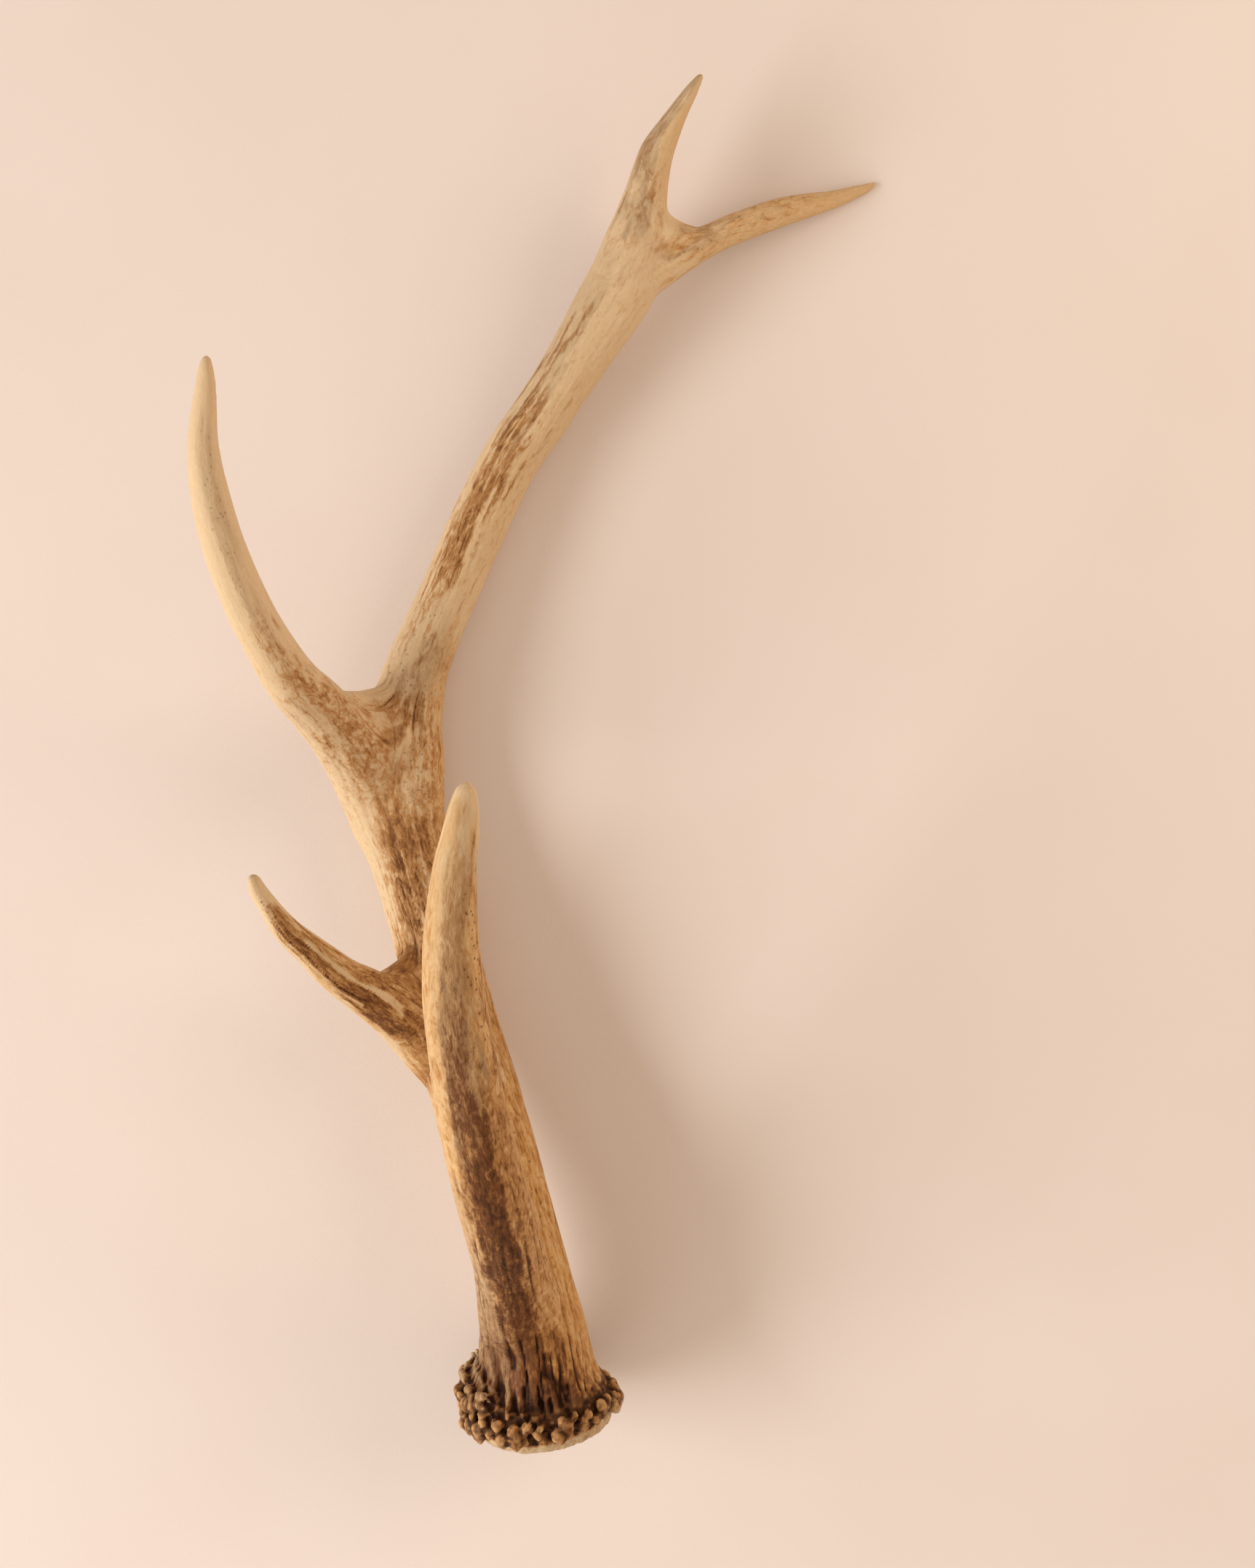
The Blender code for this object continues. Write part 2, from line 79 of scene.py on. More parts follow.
# The branches of the bone. Each station on a middle line is x, y and height in mm, then
# the width seen from above and the thickness. They are the stations of the solids.
branchStations = {
    "beam": [
        (-34.6, -230.0, 33.0, 47.0, 46.5),
        (-35.2, -223.2, 33.8, 45.4, 45.0),
        (-36.1, -214.9, 34.4, 43.1, 42.9),
        (-37.1, -206.1, 34.8, 40.8, 41.0),
        (-39.1, -195.5, 34.6, 37.9, 38.5),
        (-41.5, -183.8, 33.8, 36.0, 36.8),
        (-47.0, -163.6, 32.4, 35.5, 36.5),
        (-53.9, -138.2, 29.0, 35.2, 36.0),
        (-59.5, -118.7, 26.2, 34.6, 34.6),
        (-66.3, -96.6, 23.4, 33.6, 33.2),
        (-73.0, -71.4, 20.2, 31.8, 31.6),
        (-80.0, -47.5, 17.8, 30.4, 30.5),
        (-86.1, -26.2, 15.8, 32.6, 29.5),
        (-91.0, -9.1, 14.8, 39.0, 28.2),
        (-90.0, 9.4, 14.3, 36.4, 27.2),
        (-87.5, 26.5, 14.0, 29.7, 25.4),
        (-82.7, 45.1, 13.4, 25.1, 24.0),
        (-75.6, 62.9, 13.0, 23.2, 23.2),
        (-67.6, 80.9, 12.8, 22.9, 23.0),
        (-59.3, 100.4, 12.9, 23.2, 23.0),
        (-47.3, 125.1, 13.6, 22.9, 23.0),
        (-36.0, 141.5, 14.8, 23.1, 22.6),
        (-26.3, 156.0, 16.6, 22.9, 21.9),
        (-16.6, 171.0, 19.2, 24.7, 21.3),
        (-8.7, 183.2, 21.6, 27.2, 20.3),
        (-2.0, 194.0, 23.6, 27.8, 18.9),
        (3.5, 204.4, 25.2, 21.8, 17.9),
    ],
    "brow tine": [
        (-38.5, -214.0, 33.0, 36.0, 36.0),
        (-40.6, -201.0, 43.0, 33.5, 36.0),
        (-42.4, -187.0, 59.0, 29.5, 34.0),
        (-43.7, -171.2, 80.0, 26.6, 31.0),
        (-45.3, -153.6, 106.0, 25.8, 29.2),
        (-47.9, -135.7, 126.0, 25.2, 27.3),
        (-50.8, -117.0, 142.0, 23.9, 25.0),
        (-53.0, -98.1, 155.0, 22.7, 23.1),
        (-54.8, -80.2, 166.0, 21.4, 21.5),
        (-55.8, -67.3, 173.0, 20.4, 20.5),
        (-55.9, -48.2, 181.0, 17.9, 18.0),
        (-54.3, -27.5, 188.0, 14.3, 14.3),
        (-52.4, -17.2, 191.0, 12.4, 12.5),
        (-51.1, -7.9, 193.0, 9.9, 10.0),
        (-50.1, -1.6, 195.0, 6.5, 6.6),
    ],
    "bez tine": [
        (-69.9, -110.7, 22.0, 23.1, 22.1),
        (-76.7, -101.1, 27.0, 24.5, 24.1),
        (-83.9, -90.6, 38.0, 23.5, 24.1),
        (-90.7, -82.9, 52.0, 20.2, 20.6),
        (-97.3, -76.6, 64.0, 17.5, 17.7),
        (-103.4, -71.4, 74.0, 15.2, 15.7),
        (-109.0, -65.3, 83.0, 13.7, 14.0),
        (-114.3, -59.3, 89.5, 11.7, 12.2),
        (-119.8, -53.8, 94.5, 10.4, 10.8),
        (-123.7, -48.3, 98.5, 9.0, 9.3),
        (-127.1, -42.5, 101.5, 7.4, 7.9),
        (-129.8, -37.7, 104.0, 6.6, 6.9),
        (-131.3, -33.1, 106.0, 4.9, 5.1),
    ],
    "trez tine": [
        (-93.5, -13.0, 15.0, 31.0, 25.0),
        (-98.6, -1.0, 18.0, 30.6, 25.5),
        (-102.9, 8.5, 27.0, 28.4, 25.5),
        (-108.7, 18.8, 43.0, 25.0, 24.4),
        (-115.4, 28.6, 62.0, 22.4, 22.3),
        (-121.3, 36.6, 80.0, 20.0, 20.3),
        (-127.0, 48.5, 96.0, 17.6, 18.4),
        (-132.3, 60.8, 107.0, 16.5, 16.9),
        (-138.2, 78.7, 118.0, 15.3, 15.3),
        (-141.9, 96.2, 126.0, 13.7, 13.5),
        (-143.3, 112.7, 133.0, 11.1, 11.0),
        (-141.9, 128.4, 137.5, 8.3, 8.3),
        (-141.0, 136.4, 140.0, 6.3, 6.3),
        (-140.7, 141.8, 141.5, 3.9, 3.8),
    ],
    "top tine": [
        (-4.0, 194.5, 24.6, 23.8, 17.9),
        (1.8, 209.2, 26.0, 22.8, 17.5),
        (5.0, 220.0, 27.6, 19.6, 16.8),
        (7.1, 228.7, 29.2, 16.6, 16.1),
        (8.7, 235.6, 30.6, 14.8, 14.8),
        (11.0, 242.6, 32.4, 13.2, 13.4),
        (14.7, 249.3, 34.2, 10.6, 10.9),
        (18.7, 256.0, 36.0, 8.0, 8.4),
        (23.7, 263.9, 37.6, 5.6, 5.8),
        (27.6, 269.6, 38.8, 3.1, 3.2),
    ],
    "back tine": [
        (-4.0, 189.2, 23.6, 16.9, 16.9),
        (9.9, 198.9, 23.4, 17.5, 15.7),
        (21.9, 206.1, 22.4, 14.5, 14.1),
        (31.2, 211.1, 20.8, 12.7, 12.9),
        (39.0, 215.2, 19.0, 12.2, 12.6),
        (56.9, 223.1, 13.6, 11.7, 11.7),
        (68.9, 227.2, 9.8, 10.0, 10.0),
        (80.1, 230.6, 6.4, 7.5, 7.4),
        (88.6, 234.0, 3.9, 5.6, 5.4),
        (95.0, 236.7, 2.2, 3.8, 3.8),
        (98.5, 239.3, 1.2, 2.0, 2.2),
    ],
}

# The thin bone that fills the crotches of the forks.
crotchStations = {
    "bez crotch": [
        (-97.5, -78.5, 61.0, 12.0, 12.0),
        (-88.8, -76.8, 41.5, 15.0, 14.0),
        (-78.0, -71.0, 24.5, 18.0, 18.0),
    ],
    "trez crotch": [
        (-116.3, 28.8, 62.0, 15.0, 14.0),
        (-105.6, 27.0, 34.0, 17.0, 15.0),
        (-90.0, 29.0, 16.0, 20.0, 18.0),
    ],
    "trez web": [
        (-109.0, 19.5, 46.0, 20.0, 12.0),
        (-98.0, 17.5, 34.0, 24.0, 15.0),
        (-86.0, 16.0, 19.5, 26.0, 15.0),
    ],
    "crown crotch": [
        (5.0, 219.0, 27.6, 13.0, 13.0),
        (16.4, 212.0, 25.4, 13.0, 14.0),
        (29.8, 208.3, 21.8, 12.0, 12.5),
    ],
}

boneGrowth = {
    "stationStep": 3.0,      # mm between the rings of a branch
    "ringPoints": 28,
    "tipReach": 0.45,        # how far a tip stands past its last ring, in widths
    "roughVoxel": 1.3,       # mm, for the branches alone
    "fineVoxel": 0.7,        # mm, for the finished skin
    "crotchReach": 34.0,     # how far the crotches are rounded, mm
    "crotchGrip": 1.6,       # how soon within that reach the rounding is full
    "crotchRounds": 26,
    "roughRounds": 3,
    "fineRounds": 2,
    "bubblePoints": 1000,    # a loose piece with fewer points is a bubble
    "forks": [(-42, -186, 60), (-84, -80, 35), (-101, 26, 26), (10, 208, 24.5)],
}


def unitRows(vectors):
    return vectors / np.linalg.norm(vectors, axis=1, keepdims=True)


def middleLine(stations):
    # A smooth curve through the stations, with the directions round it.
    knots = np.array(stations, float)
    padded = np.vstack([2 * knots[0] - knots[1], knots, 2 * knots[-1] - knots[-2]])
    rows = []
    for before, start, end, after in zip(padded, padded[1:], padded[2:], padded[3:]):
        length = np.linalg.norm(end[:3] - start[:3])
        for t in np.arange(0, 1, boneGrowth["stationStep"] / length):
            rows.append((2 * start + (end - before) * t
                         + (2 * before - 5 * start + 4 * end - after) * t ** 2
                         + (3 * start - before - 3 * end + after) * t ** 3) / 2)
    rows = np.array(rows + [knots[-1]])
    places = rows[:, :3]
    run = np.concatenate([[0], np.cumsum(np.linalg.norm(np.diff(places, axis=0), axis=1))])
    ahead = unitRows(np.gradient(places, axis=0))
    side = unitRows(np.cross(ahead, (0.0, 0.0, 1.0)))
    return {"rows": rows, "places": places, "run": run, "ahead": ahead,
            "side": side, "up": np.cross(side, ahead)}


def addTube(bm, rings, startTip, endTip):
    loops = [[bm.verts.new(point) for point in ring] for ring in rings]
    count = len(loops[0])
    for low, high in zip(loops, loops[1:]):
        for i in range(count):
            j = (i + 1) % count
            bm.faces.new((low[i], low[j], high[j], high[i]))
    bottom, top = bm.verts.new(startTip), bm.verts.new(endTip)
    for i in range(count):
        j = (i + 1) % count
        bm.faces.new((bottom, loops[0][j], loops[0][i]))
        bm.faces.new((top, loops[-1][i], loops[-1][j]))


def sweepBranch(bm, line):
    turns = np.linspace(0, 2 * math.pi, boneGrowth["ringPoints"], endpoint=False)
    rings = []
    for i, (_, _, _, width, thickness) in enumerate(line["rows"]):
        rings.append([line["places"][i] + math.cos(a) * width / 2 * line["side"][i]
                      + math.sin(a) * thickness / 2 * line["up"][i] for a in turns])
    tip = line["places"][-1] + line["ahead"][-1] * line["rows"][-1, 3] * boneGrowth["tipReach"]
    addTube(bm, rings, line["places"][0], tip)


def objectFrom(bm, name):
    bmesh.ops.recalc_face_normals(bm, faces=bm.faces)
    mesh = bpy.data.meshes.new(name)
    bm.to_mesh(mesh)
    bm.free()
    made = bpy.data.objects.new(name, mesh)
    bpy.context.scene.collection.objects.link(made)
    return made


def settle(thing):
    # Swaps the mesh for what its modifiers make of it.
    graph = bpy.context.evaluated_depsgraph_get()
    old = thing.data
    thing.data = bpy.data.meshes.new_from_object(thing.evaluated_get(graph))
    thing.modifiers.clear()
    bpy.data.meshes.remove(old)


def fuse(thing, voxel):
    join = thing.modifiers.new("fuse", "REMESH")
    join.mode = "VOXEL"
    join.voxel_size = voxel
    settle(thing)


def smoothSkin(thing, rounds, group=""):
    even = thing.modifiers.new("even", "SMOOTH")
    even.factor = 0.5
    even.iterations = rounds
    even.vertex_group = group


def growBranches(lines):
    # The branches and webs alone, fused and rounded where they fork.
    bm = bmesh.new()
    for line in lines.values():
        sweepBranch(bm, line)
    for stations in crotchStations.values():
        sweepBranch(bm, middleLine(stations))
    body = objectFrom(bm, "branches")
    fuse(body, boneGrowth["roughVoxel"])
    crotches = body.vertex_groups.new(name="crotches")
    reach = boneGrowth["crotchReach"]
    for vertex in body.data.vertices:
        nearest = min((vertex.co - Vector(fork)).length for fork in boneGrowth["forks"])
        weight = boneGrowth["crotchGrip"] * (1 - nearest / reach)
        if weight > 0:
            crotches.add([vertex.index], min(1.0, weight), "REPLACE")
    smoothSkin(body, boneGrowth["crotchRounds"], "crotches")
    smoothSkin(body, boneGrowth["roughRounds"])
    settle(body)
    return body


# The burr, where the antler sat on the skull: the pale seal, the ring and its pearls.
burr = {
    "centre": Vector((-34.6, -235.4, 31.9)),
    "axis": Vector((-0.13, 0.955, 0.263)).normalized(),
    "width": 1.07,           # how much wider than tall
    "climb": 1.1,            # how the upper edge climbs the beam on the left
    "drop": 8.6,             # mm the underside drops back on the right
    "shoulder": 2.2,         # how the upper edge climbs the beam on the right
    "shoulderStart": 4.0,    # mm along the axis where that climb starts
    "bareSide": 0.1,         # the shoulder has no pearls where the turn's cosine is over this
    "ringRadius": 28.0,
    "ringPoints": 72,
    "sealBulge": 0.5,        # mm the seal's middle stands out
    "profile": [             # mm along the axis, radius, lean to the right
        (-14.0, 9.0, 1.8),
        (-13.5, 16.5, 1.6),
        (-11.8, 21.0, 1.2),
        (-8.6, 24.2, 0.6),
        (-4.8, 25.2, 0.0),
        (-1.0, 25.9, 0.0),
        (2.4, 25.8, 0.0),
        (5.0, 24.6, 0.0),
        (8.4, 21.0, 0.0),
    ],
    "pearlRows": [           # mm along the axis, radius, how many, size, length to width
        (-1.2, 26.5, 33, 2.3, 1.6),
        (2.6, 26.4, 30, 2.15, 1.45),
        (6.0, 24.6, 28, 1.4, 1.4),
    ],
    "pearlEnd": (4.0, 8.5),  # mm along the axis where the look of the pearls fades out
    "pearlRadius": (24.6, 26.4),     # and the radius where it fades in
    "pearlFlare": 0.35,      # how much nearer that radius comes for each mm along
    "sealEdge": (-7.5, -4.5),        # mm along the axis between the seal and the ring
}

pearl = {
    "widths": (0.7, 1.25),   # times the size of its row
    "lengths": (0.75, 1.2),  # times the length to width of its row
    "stand": 0.4,            # how far it stands out, in its own widths
    "lean": 0.35,            # at most, in radians
    "taper": 0.4,            # at most
    "stray": 1.3,            # mm along the axis, at most
    "sideStray": 0.3,        # of the space between two of them, at most
    "roundness": 3,
    "seed": 11,
}

# More of them where the ring is broad, on the left.
leftKnobs = {
    "count": 26,
    "turns": (128, 232),     # degrees
    "along": (3.0, 7.6),     # mm
    "radius": 27.2,
    "slope": 0.45,           # how much nearer the beam they sit for each mm along
    "size": 1.7,
    "stretch": 1.3,
}


def burrPoint(along, radius, turn):
    # A quarter turn is the upper side.
    underside = (1 - math.sin(turn)) / 2
    right, left = max(0.0, math.cos(turn)), max(0.0, -math.cos(turn))
    along += burr["climb"] * left * max(0.0, along)
    along += burr["shoulder"] * right * max(0.0, along - burr["shoulderStart"])
    along -= burr["drop"] * right * underside * radius / burr["ringRadius"]
    side = burr["axis"].cross(Vector((0, 0, 1))).normalized()
    outward = burr["width"] * math.cos(turn) * side + math.sin(turn) * side.cross(burr["axis"])
    return burr["centre"] + along * burr["axis"] + radius * outward


def turnBurr(bm):
    right = burr["axis"].cross(Vector((0, 0, 1))).normalized()
    turns = np.linspace(0, 2 * math.pi, burr["ringPoints"], endpoint=False)
    rings = [[burrPoint(along, radius, a) + lean * right for a in turns]
             for along, radius, lean in burr["profile"]]
    (first, _, lean), (last, _, _) = burr["profile"][0], burr["profile"][-1]
    seal = burrPoint(first - burr["sealBulge"], 0, 0) + lean * right
    addTube(bm, rings, seal, burrPoint(last, 0, 0))


def addPearl(bm, chance, along, radius, turn, size, stretch):
    wide = size * chance.uniform(*pearl["widths"])
    tall = wide * stretch * chance.uniform(*pearl["lengths"])
    place = burrPoint(along, radius + wide * pearl["stand"], turn)
    outward = (place - burr["centre"]).normalized()
    upright = burr["axis"].to_track_quat("Z", "Y").to_matrix().to_4x4()
    lean = chance.uniform(-pearl["lean"], pearl["lean"])
    leaning = Matrix.Rotation(lean, 4, outward) @ upright
    shape = Matrix.Translation(place) @ leaning @ Matrix.Diagonal((wide, wide, tall, 1.0))
    taper = chance.uniform(0.0, pearl["taper"])
    ball = bmesh.ops.create_icosphere(bm, subdivisions=pearl["roundness"], radius=1.0)
    for vertex in ball["verts"]:
        waist = 1 + taper * vertex.co.z
        vertex.co.x *= waist
        vertex.co.y *= waist
        vertex.co = shape @ vertex.co


def addPearls(bm):
    # Tooth-like knobs, each longer along the beam and narrower at one end.
    chance = random.Random(pearl["seed"])
    stray, sideStray = pearl["stray"], pearl["sideStray"]
    for along, radius, count, size, stretch in burr["pearlRows"]:
        for i in range(count):
            turn = (i + chance.uniform(-sideStray, sideStray)) / count * 2 * math.pi
            if along > burr["shoulderStart"] and math.cos(turn) > burr["bareSide"]:
                continue
            place = along + chance.uniform(-stray, stray)
            addPearl(bm, chance, place, radius, turn, size, stretch)
    for _ in range(leftKnobs["count"]):
        turn = math.radians(chance.uniform(*leftKnobs["turns"]))
        along = chance.uniform(*leftKnobs["along"])
        radius = leftKnobs["radius"] - along * leftKnobs["slope"]
        addPearl(bm, chance, along, radius, turn, leftKnobs["size"], leftKnobs["stretch"])


def dropBubbles(skin):
    # Clears the tiny closed bubbles that fusing can leave inside the bone.
    bm = bmesh.new()
    bm.from_mesh(skin.data)
    left = set(bm.verts)
    while left:
        found = [left.pop()]
        for vertex in found:
            around = {edge.other_vert(vertex) for edge in vertex.link_edges} & left
            found.extend(around)
            left -= around
        if len(found) < boneGrowth["bubblePoints"]:
            bmesh.ops.delete(bm, geom=found, context="VERTS")
    bm.to_mesh(skin.data)
    bm.free()


def growSkin(lines):
    # The branches, the burr and its pearls under one fine skin.
    branches = growBranches(lines)
    bm = bmesh.new()
    bm.from_mesh(branches.data)
    turnBurr(bm)
    addPearls(bm)
    skin = objectFrom(bm, "skin")
    bpy.data.objects.remove(branches, do_unlink=True)
    fuse(skin, boneGrowth["fineVoxel"])
    dropBubbles(skin)
    smoothSkin(skin, boneGrowth["fineRounds"])
    settle(skin)
    return skin


# Large odd numbers that stir a cell's place and the seed into a chance value.
noiseStir = {"cell": (73856093, 19349663, 83492791), "seed": 97531, "again": 1274126177}


def valueNoise(points, seed):
    # Smooth noise from 0 to 1, with cells one unit wide.
    stirX, stirY, stirZ = noiseStir["cell"]
    cell = np.floor(points).astype(np.int64)
    inside = points - cell
    inside = inside * inside * (3 - 2 * inside)
    total = np.zeros(len(points))
    for corner in range(8):
        step = np.array([corner & 1, corner >> 1 & 1, corner >> 2])
        i, j, k = (cell + step).T
        mixed = (i * stirX) ^ (j * stirY) ^ (k * stirZ) ^ (seed * noiseStir["seed"])
        mixed = ((mixed ^ (mixed >> 13)) & 0xFFFFFFFF) * noiseStir["again"]
        mixed = (mixed ^ (mixed >> 16)) & 0xFFFF
        total += np.prod(np.where(step, inside, 1 - inside), axis=1) * mixed / 65535
    return total


def grainNoise(grain, across, lengthwise, seed):
    # Noise in bone space: cells so many mm across the grain and so many along it.
    return valueNoise(grain / (across, across, lengthwise), seed)


def smoothStep(value, low, high):
    t = np.clip((value - low) / (high - low), 0, 1)
    return t * t * (3 - 2 * t)


def readBranch(line, points):
    # Where each point lies on a branch: distance along it, turn round it in degrees
    # (0 right, 90 top, 180 left, -90 below), and how far off it is.
    row = np.zeros(len(points), int)
    reach = np.full(len(points), np.inf)
    for i, place in enumerate(line["places"]):
        distance = np.linalg.norm(points - place, axis=1)
        closer = distance < reach
        row[closer] = i
        reach[closer] = distance[closer]
    offset = points - line["places"][row]
    across = np.einsum("ij,ij->i", offset, line["side"][row]) / line["rows"][row, 3]
    above = np.einsum("ij,ij->i", offset, line["up"][row]) / line["rows"][row, 4]
    along = line["run"][row] + np.einsum("ij,ij->i", offset, line["ahead"][row])
    return {"along": along, "turn": np.degrees(np.arctan2(above, across)),
            "apart": reach / line["rows"][row, 3]}


# Bone space: a rod of this radius in mm for each branch, so that the grain keeps its width.
boneRadius = {
    "beam": 16, "brow tine": 12, "bez tine": 9,
    "trez tine": 10, "top tine": 8, "back tine": 6.5,
}
rodSpacing = 61.0      # mm between one rod and the next
branchBlend = 0.12     # how gradually one branch's marks give way to the next one's


def readSkin(points, lines):
    # Each branch's reading of every point, and its share in it.
    spots = {name: readBranch(line, points) for name, line in lines.items()}
    closest = np.min([spot["apart"] for spot in spots.values()], axis=0)
    for number, (name, spot) in enumerate(spots.items()):
        spot["share"] = np.exp((closest - spot["apart"]) / branchBlend)
        turn = np.radians(spot["turn"])
        spot["grain"] = np.stack([boneRadius[name] * np.cos(turn) + rodSpacing * number,
                                  boneRadius[name] * np.sin(turn), spot["along"]], axis=1)
    total = np.sum([spot["share"] for spot in spots.values()], axis=0)
    for spot in spots.values():
        spot["share"] /= total
    return spots


# How deep the gutters of the bone are, in mm, at distances from each branch's start.
gutters = {
    "depth": {
        "beam": [(-6, 0.0), (2, 1.5), (30, 1.2), (70, 0.8), (150, 0.55), (270, 0.5),
                 (300, 0.2), (460, 0.15)],
        "brow tine": [(0, 1.1), (60, 0.9), (120, 0.5), (185, 0.12), (274, 0.05)],
        "bez tine": [(0, 0.6), (50, 0.7), (110, 0.5), (135, 0.1)],
        "trez tine": [(0, 0.5), (60, 0.4), (110, 0.15), (200, 0.05)],
        "top tine": [(0, 0.15), (80, 0.08)],
        "back tine": [(0, 0.25), (50, 0.12), (110, 0.05)],
    },
    "topTurn": 95.0,         # degrees, where they are deepest
    "allRound": 0.62,        # their depth at the sides
    "onTop": 0.38,           # and how much deeper they are on top
    "wide": {"cells": (3.2, 44.0), "edge": (0.70, 1.0), "share": 0.8, "seed": 21},
    "narrow": {"cells": (1.5, 16.0), "edge": (0.72, 1.0), "share": 0.35, "seed": 22},
    "swell": {"cells": (7.0, 26.0), "share": 0.5, "seed": 23},     # cells across and along
}

# Deep clefts that run into the burr, as strokes seen from above: x, y, half width and
# depth in mm. Before each go the cells across and along them, in mm.
clefts = [
    (1.9, 5.5, [(-33, -234, 12, 1.8), (-34, -224, 9, 1.5), (-36, -212, 6, 0.8),
                (-38, -200, 4, 0.3)]),
    (1.6, 60.0, [(-49, -232, 9, 1.2), (-50, -216, 8, 1.0), (-51, -198, 6, 0.6),
                 (-52, -182, 5, 0.2)]),
    (2.0, 16.0, [(-17, -232, 8, 1.3), (-20, -218, 5, 0.8), (-24, -200, 4, 0.3)]),
]
cleftEdge = (0.42, 0.72)     # from where the noise sinks in, and where it is deepest
cleftFacing = (-0.3, 0.3)    # how far up the skin faces where they start and are deepest
cleftSeed = 24
footRun = (-0.13, 0.99)      # which way the foot of the antler runs, seen from above


def patch(spot, start, end, middle, half, softAlong, softTurn):
    # 1 inside a stretch of a branch and 0 outside it, with soft, uneven edges.
    along = spot["along"] + spot["wobbleAlong"] * softAlong
    off = np.abs((spot["turn"] + spot["wobbleTurn"] * softTurn - middle + 180) % 360 - 180)
    inside = smoothStep(along, start - softAlong / 2, start + softAlong / 2)
    inside *= 1 - smoothStep(along, end - softAlong / 2, end + softAlong / 2)
    return inside * (1 - smoothStep(off, half - softTurn / 2, half + softTurn / 2))


# How unevenly the edges of the stains run, and the cells of a broad and a narrow noise.
edgeWobble = {
    "wobbleAlong": {"strength": 1.6, "broad": (5.0, 9.0), "narrow": (1.6, 9.0), "seed": 3},
    "wobbleTurn": {"strength": 1.8, "broad": (6.0, 26.0), "narrow": (1.8, 12.0), "seed": 5},
}


def addWobble(spots):
    for spot in spots.values():
        for name, wobble in edgeWobble.items():
            broad = grainNoise(spot["grain"], *wobble["broad"], wobble["seed"])
            narrow = grainNoise(spot["grain"], *wobble["narrow"], wobble["seed"] + 1)
            spot[name] = wobble["strength"] * (broad + narrow - 1)


def groove(noise, low, high):
    # Narrow lines where the noise crosses its middle.
    return smoothStep(1 - np.abs(2 * noise - 1), low, high)


def sinkOfBranch(name, spot):
    wide, narrow, swell = gutters["wide"], gutters["narrow"], gutters["swell"]
    depth = np.interp(spot["along"], *zip(*gutters["depth"][name]))
    facing = np.cos(np.radians(spot["turn"] - gutters["topTurn"]))
    facing = gutters["allRound"] + gutters["onTop"] * facing
    noises = [grainNoise(spot["grain"], *kind["cells"], kind["seed"])
              for kind in (wide, narrow, swell)]
    return depth * facing * (wide["share"] * groove(noises[0], *wide["edge"])
                             + narrow["share"] * groove(noises[1], *narrow["edge"])
                             + swell["share"] * (noises[2] - 0.5))


strokeFade = (0.3, 1.7)      # in half widths, where a stroke starts to fade and where it ends


def strokeAt(points, stroke, waver):
    # How strong a stroke is at each point, fading evenly across its edge.
    strength = np.zeros(len(points))
    for start, end in zip(stroke, stroke[1:]):
        start, end = np.array(start, float), np.array(end, float)
        run = end[:2] - start[:2]
        t = np.clip((points[:, :2] - start[:2]) @ run / (run @ run), 0, 1)
        away = np.linalg.norm(points[:, :2] - start[:2] - t[:, None] * run, axis=1)
        half, strong = (start[i] + (end[i] - start[i]) * t for i in (2, 3))
        inside = 1 - smoothStep(away / half + waver, *strokeFade)
        strength = np.maximum(strength, inside * strong)
    return strength


def pearlyOf(points):
    # 1 on the ring of pearls and 0 on the bone above it, then the same for the seal.
    offset = points - np.array(burr["centre"])
    along = offset @ np.array(burr["axis"])
    across = offset - along[:, None] * np.array(burr["axis"])
    radius = np.linalg.norm(across, axis=1)
    left = np.clip(-across[:, 0] / radius, 0, 1)
    along /= 1 + burr["climb"] * left * (along > 0)
    above = 1 - smoothStep(along, *burr["pearlEnd"])
    above *= smoothStep(radius + along * burr["pearlFlare"], *burr["pearlRadius"])
    seal = 1 - smoothStep(along, *burr["sealEdge"])
    return above * (1 - seal), seal


def sinkOfClefts(points, normals):
    upward = smoothStep(normals[:, 2], *cleftFacing)
    across = points[:, 0] * footRun[1] - points[:, 1] * footRun[0]
    along = points[:, :2] @ np.array(footRun)
    ground = np.stack([across, np.zeros(len(points)), along], axis=1)
    sink = np.zeros(len(points))
    for wide, lengthwise, stroke in clefts:
        lines = smoothStep(grainNoise(ground, wide, lengthwise, cleftSeed), *cleftEdge)
        sink += strokeAt(points, stroke, 0.0) * lines * upward
    return sink


# How the hollows are told: by how far the skin moves when it is evened out.
hollows = {
    "rounds": 14,
    "keep": 0.4,             # of its own place that a point keeps in each round
    "deep": 0.45,            # mm, for a full hollow
    "tip": 0.85,             # mm, for the full tip of a pearl
}


def roundedBy(points, edges, rounds):
    # The points after so many rounds of evening out along the edges.
    first, second = edges.T
    count = len(points)
    links = np.bincount(first, minlength=count) + np.bincount(second, minlength=count)
    moved = points.copy()
    for _ in range(rounds):
        for axis in range(3):
            column = moved[:, axis]
            total = (np.bincount(first, column[second], count)
                     + np.bincount(second, column[first], count))
            moved[:, axis] = hollows["keep"] * column + (1 - hollows["keep"]) * total / links
    return moved


def readVectors(collection, name):
    values = np.empty(len(collection) * 3)
    collection.foreach_get(name, values)
    return values.reshape(-1, 3)


burrRoughness = {            # depths and cells in mm
    "reach": (-2.0, 9.0),    # along the beam, where it fades
    "coarse": 0.7,
    "coarseCells": (1.5, 3.1),
    "fine": 0.5,
    "fineCell": 0.9,
    "seeds": (31, 32, 33),
}


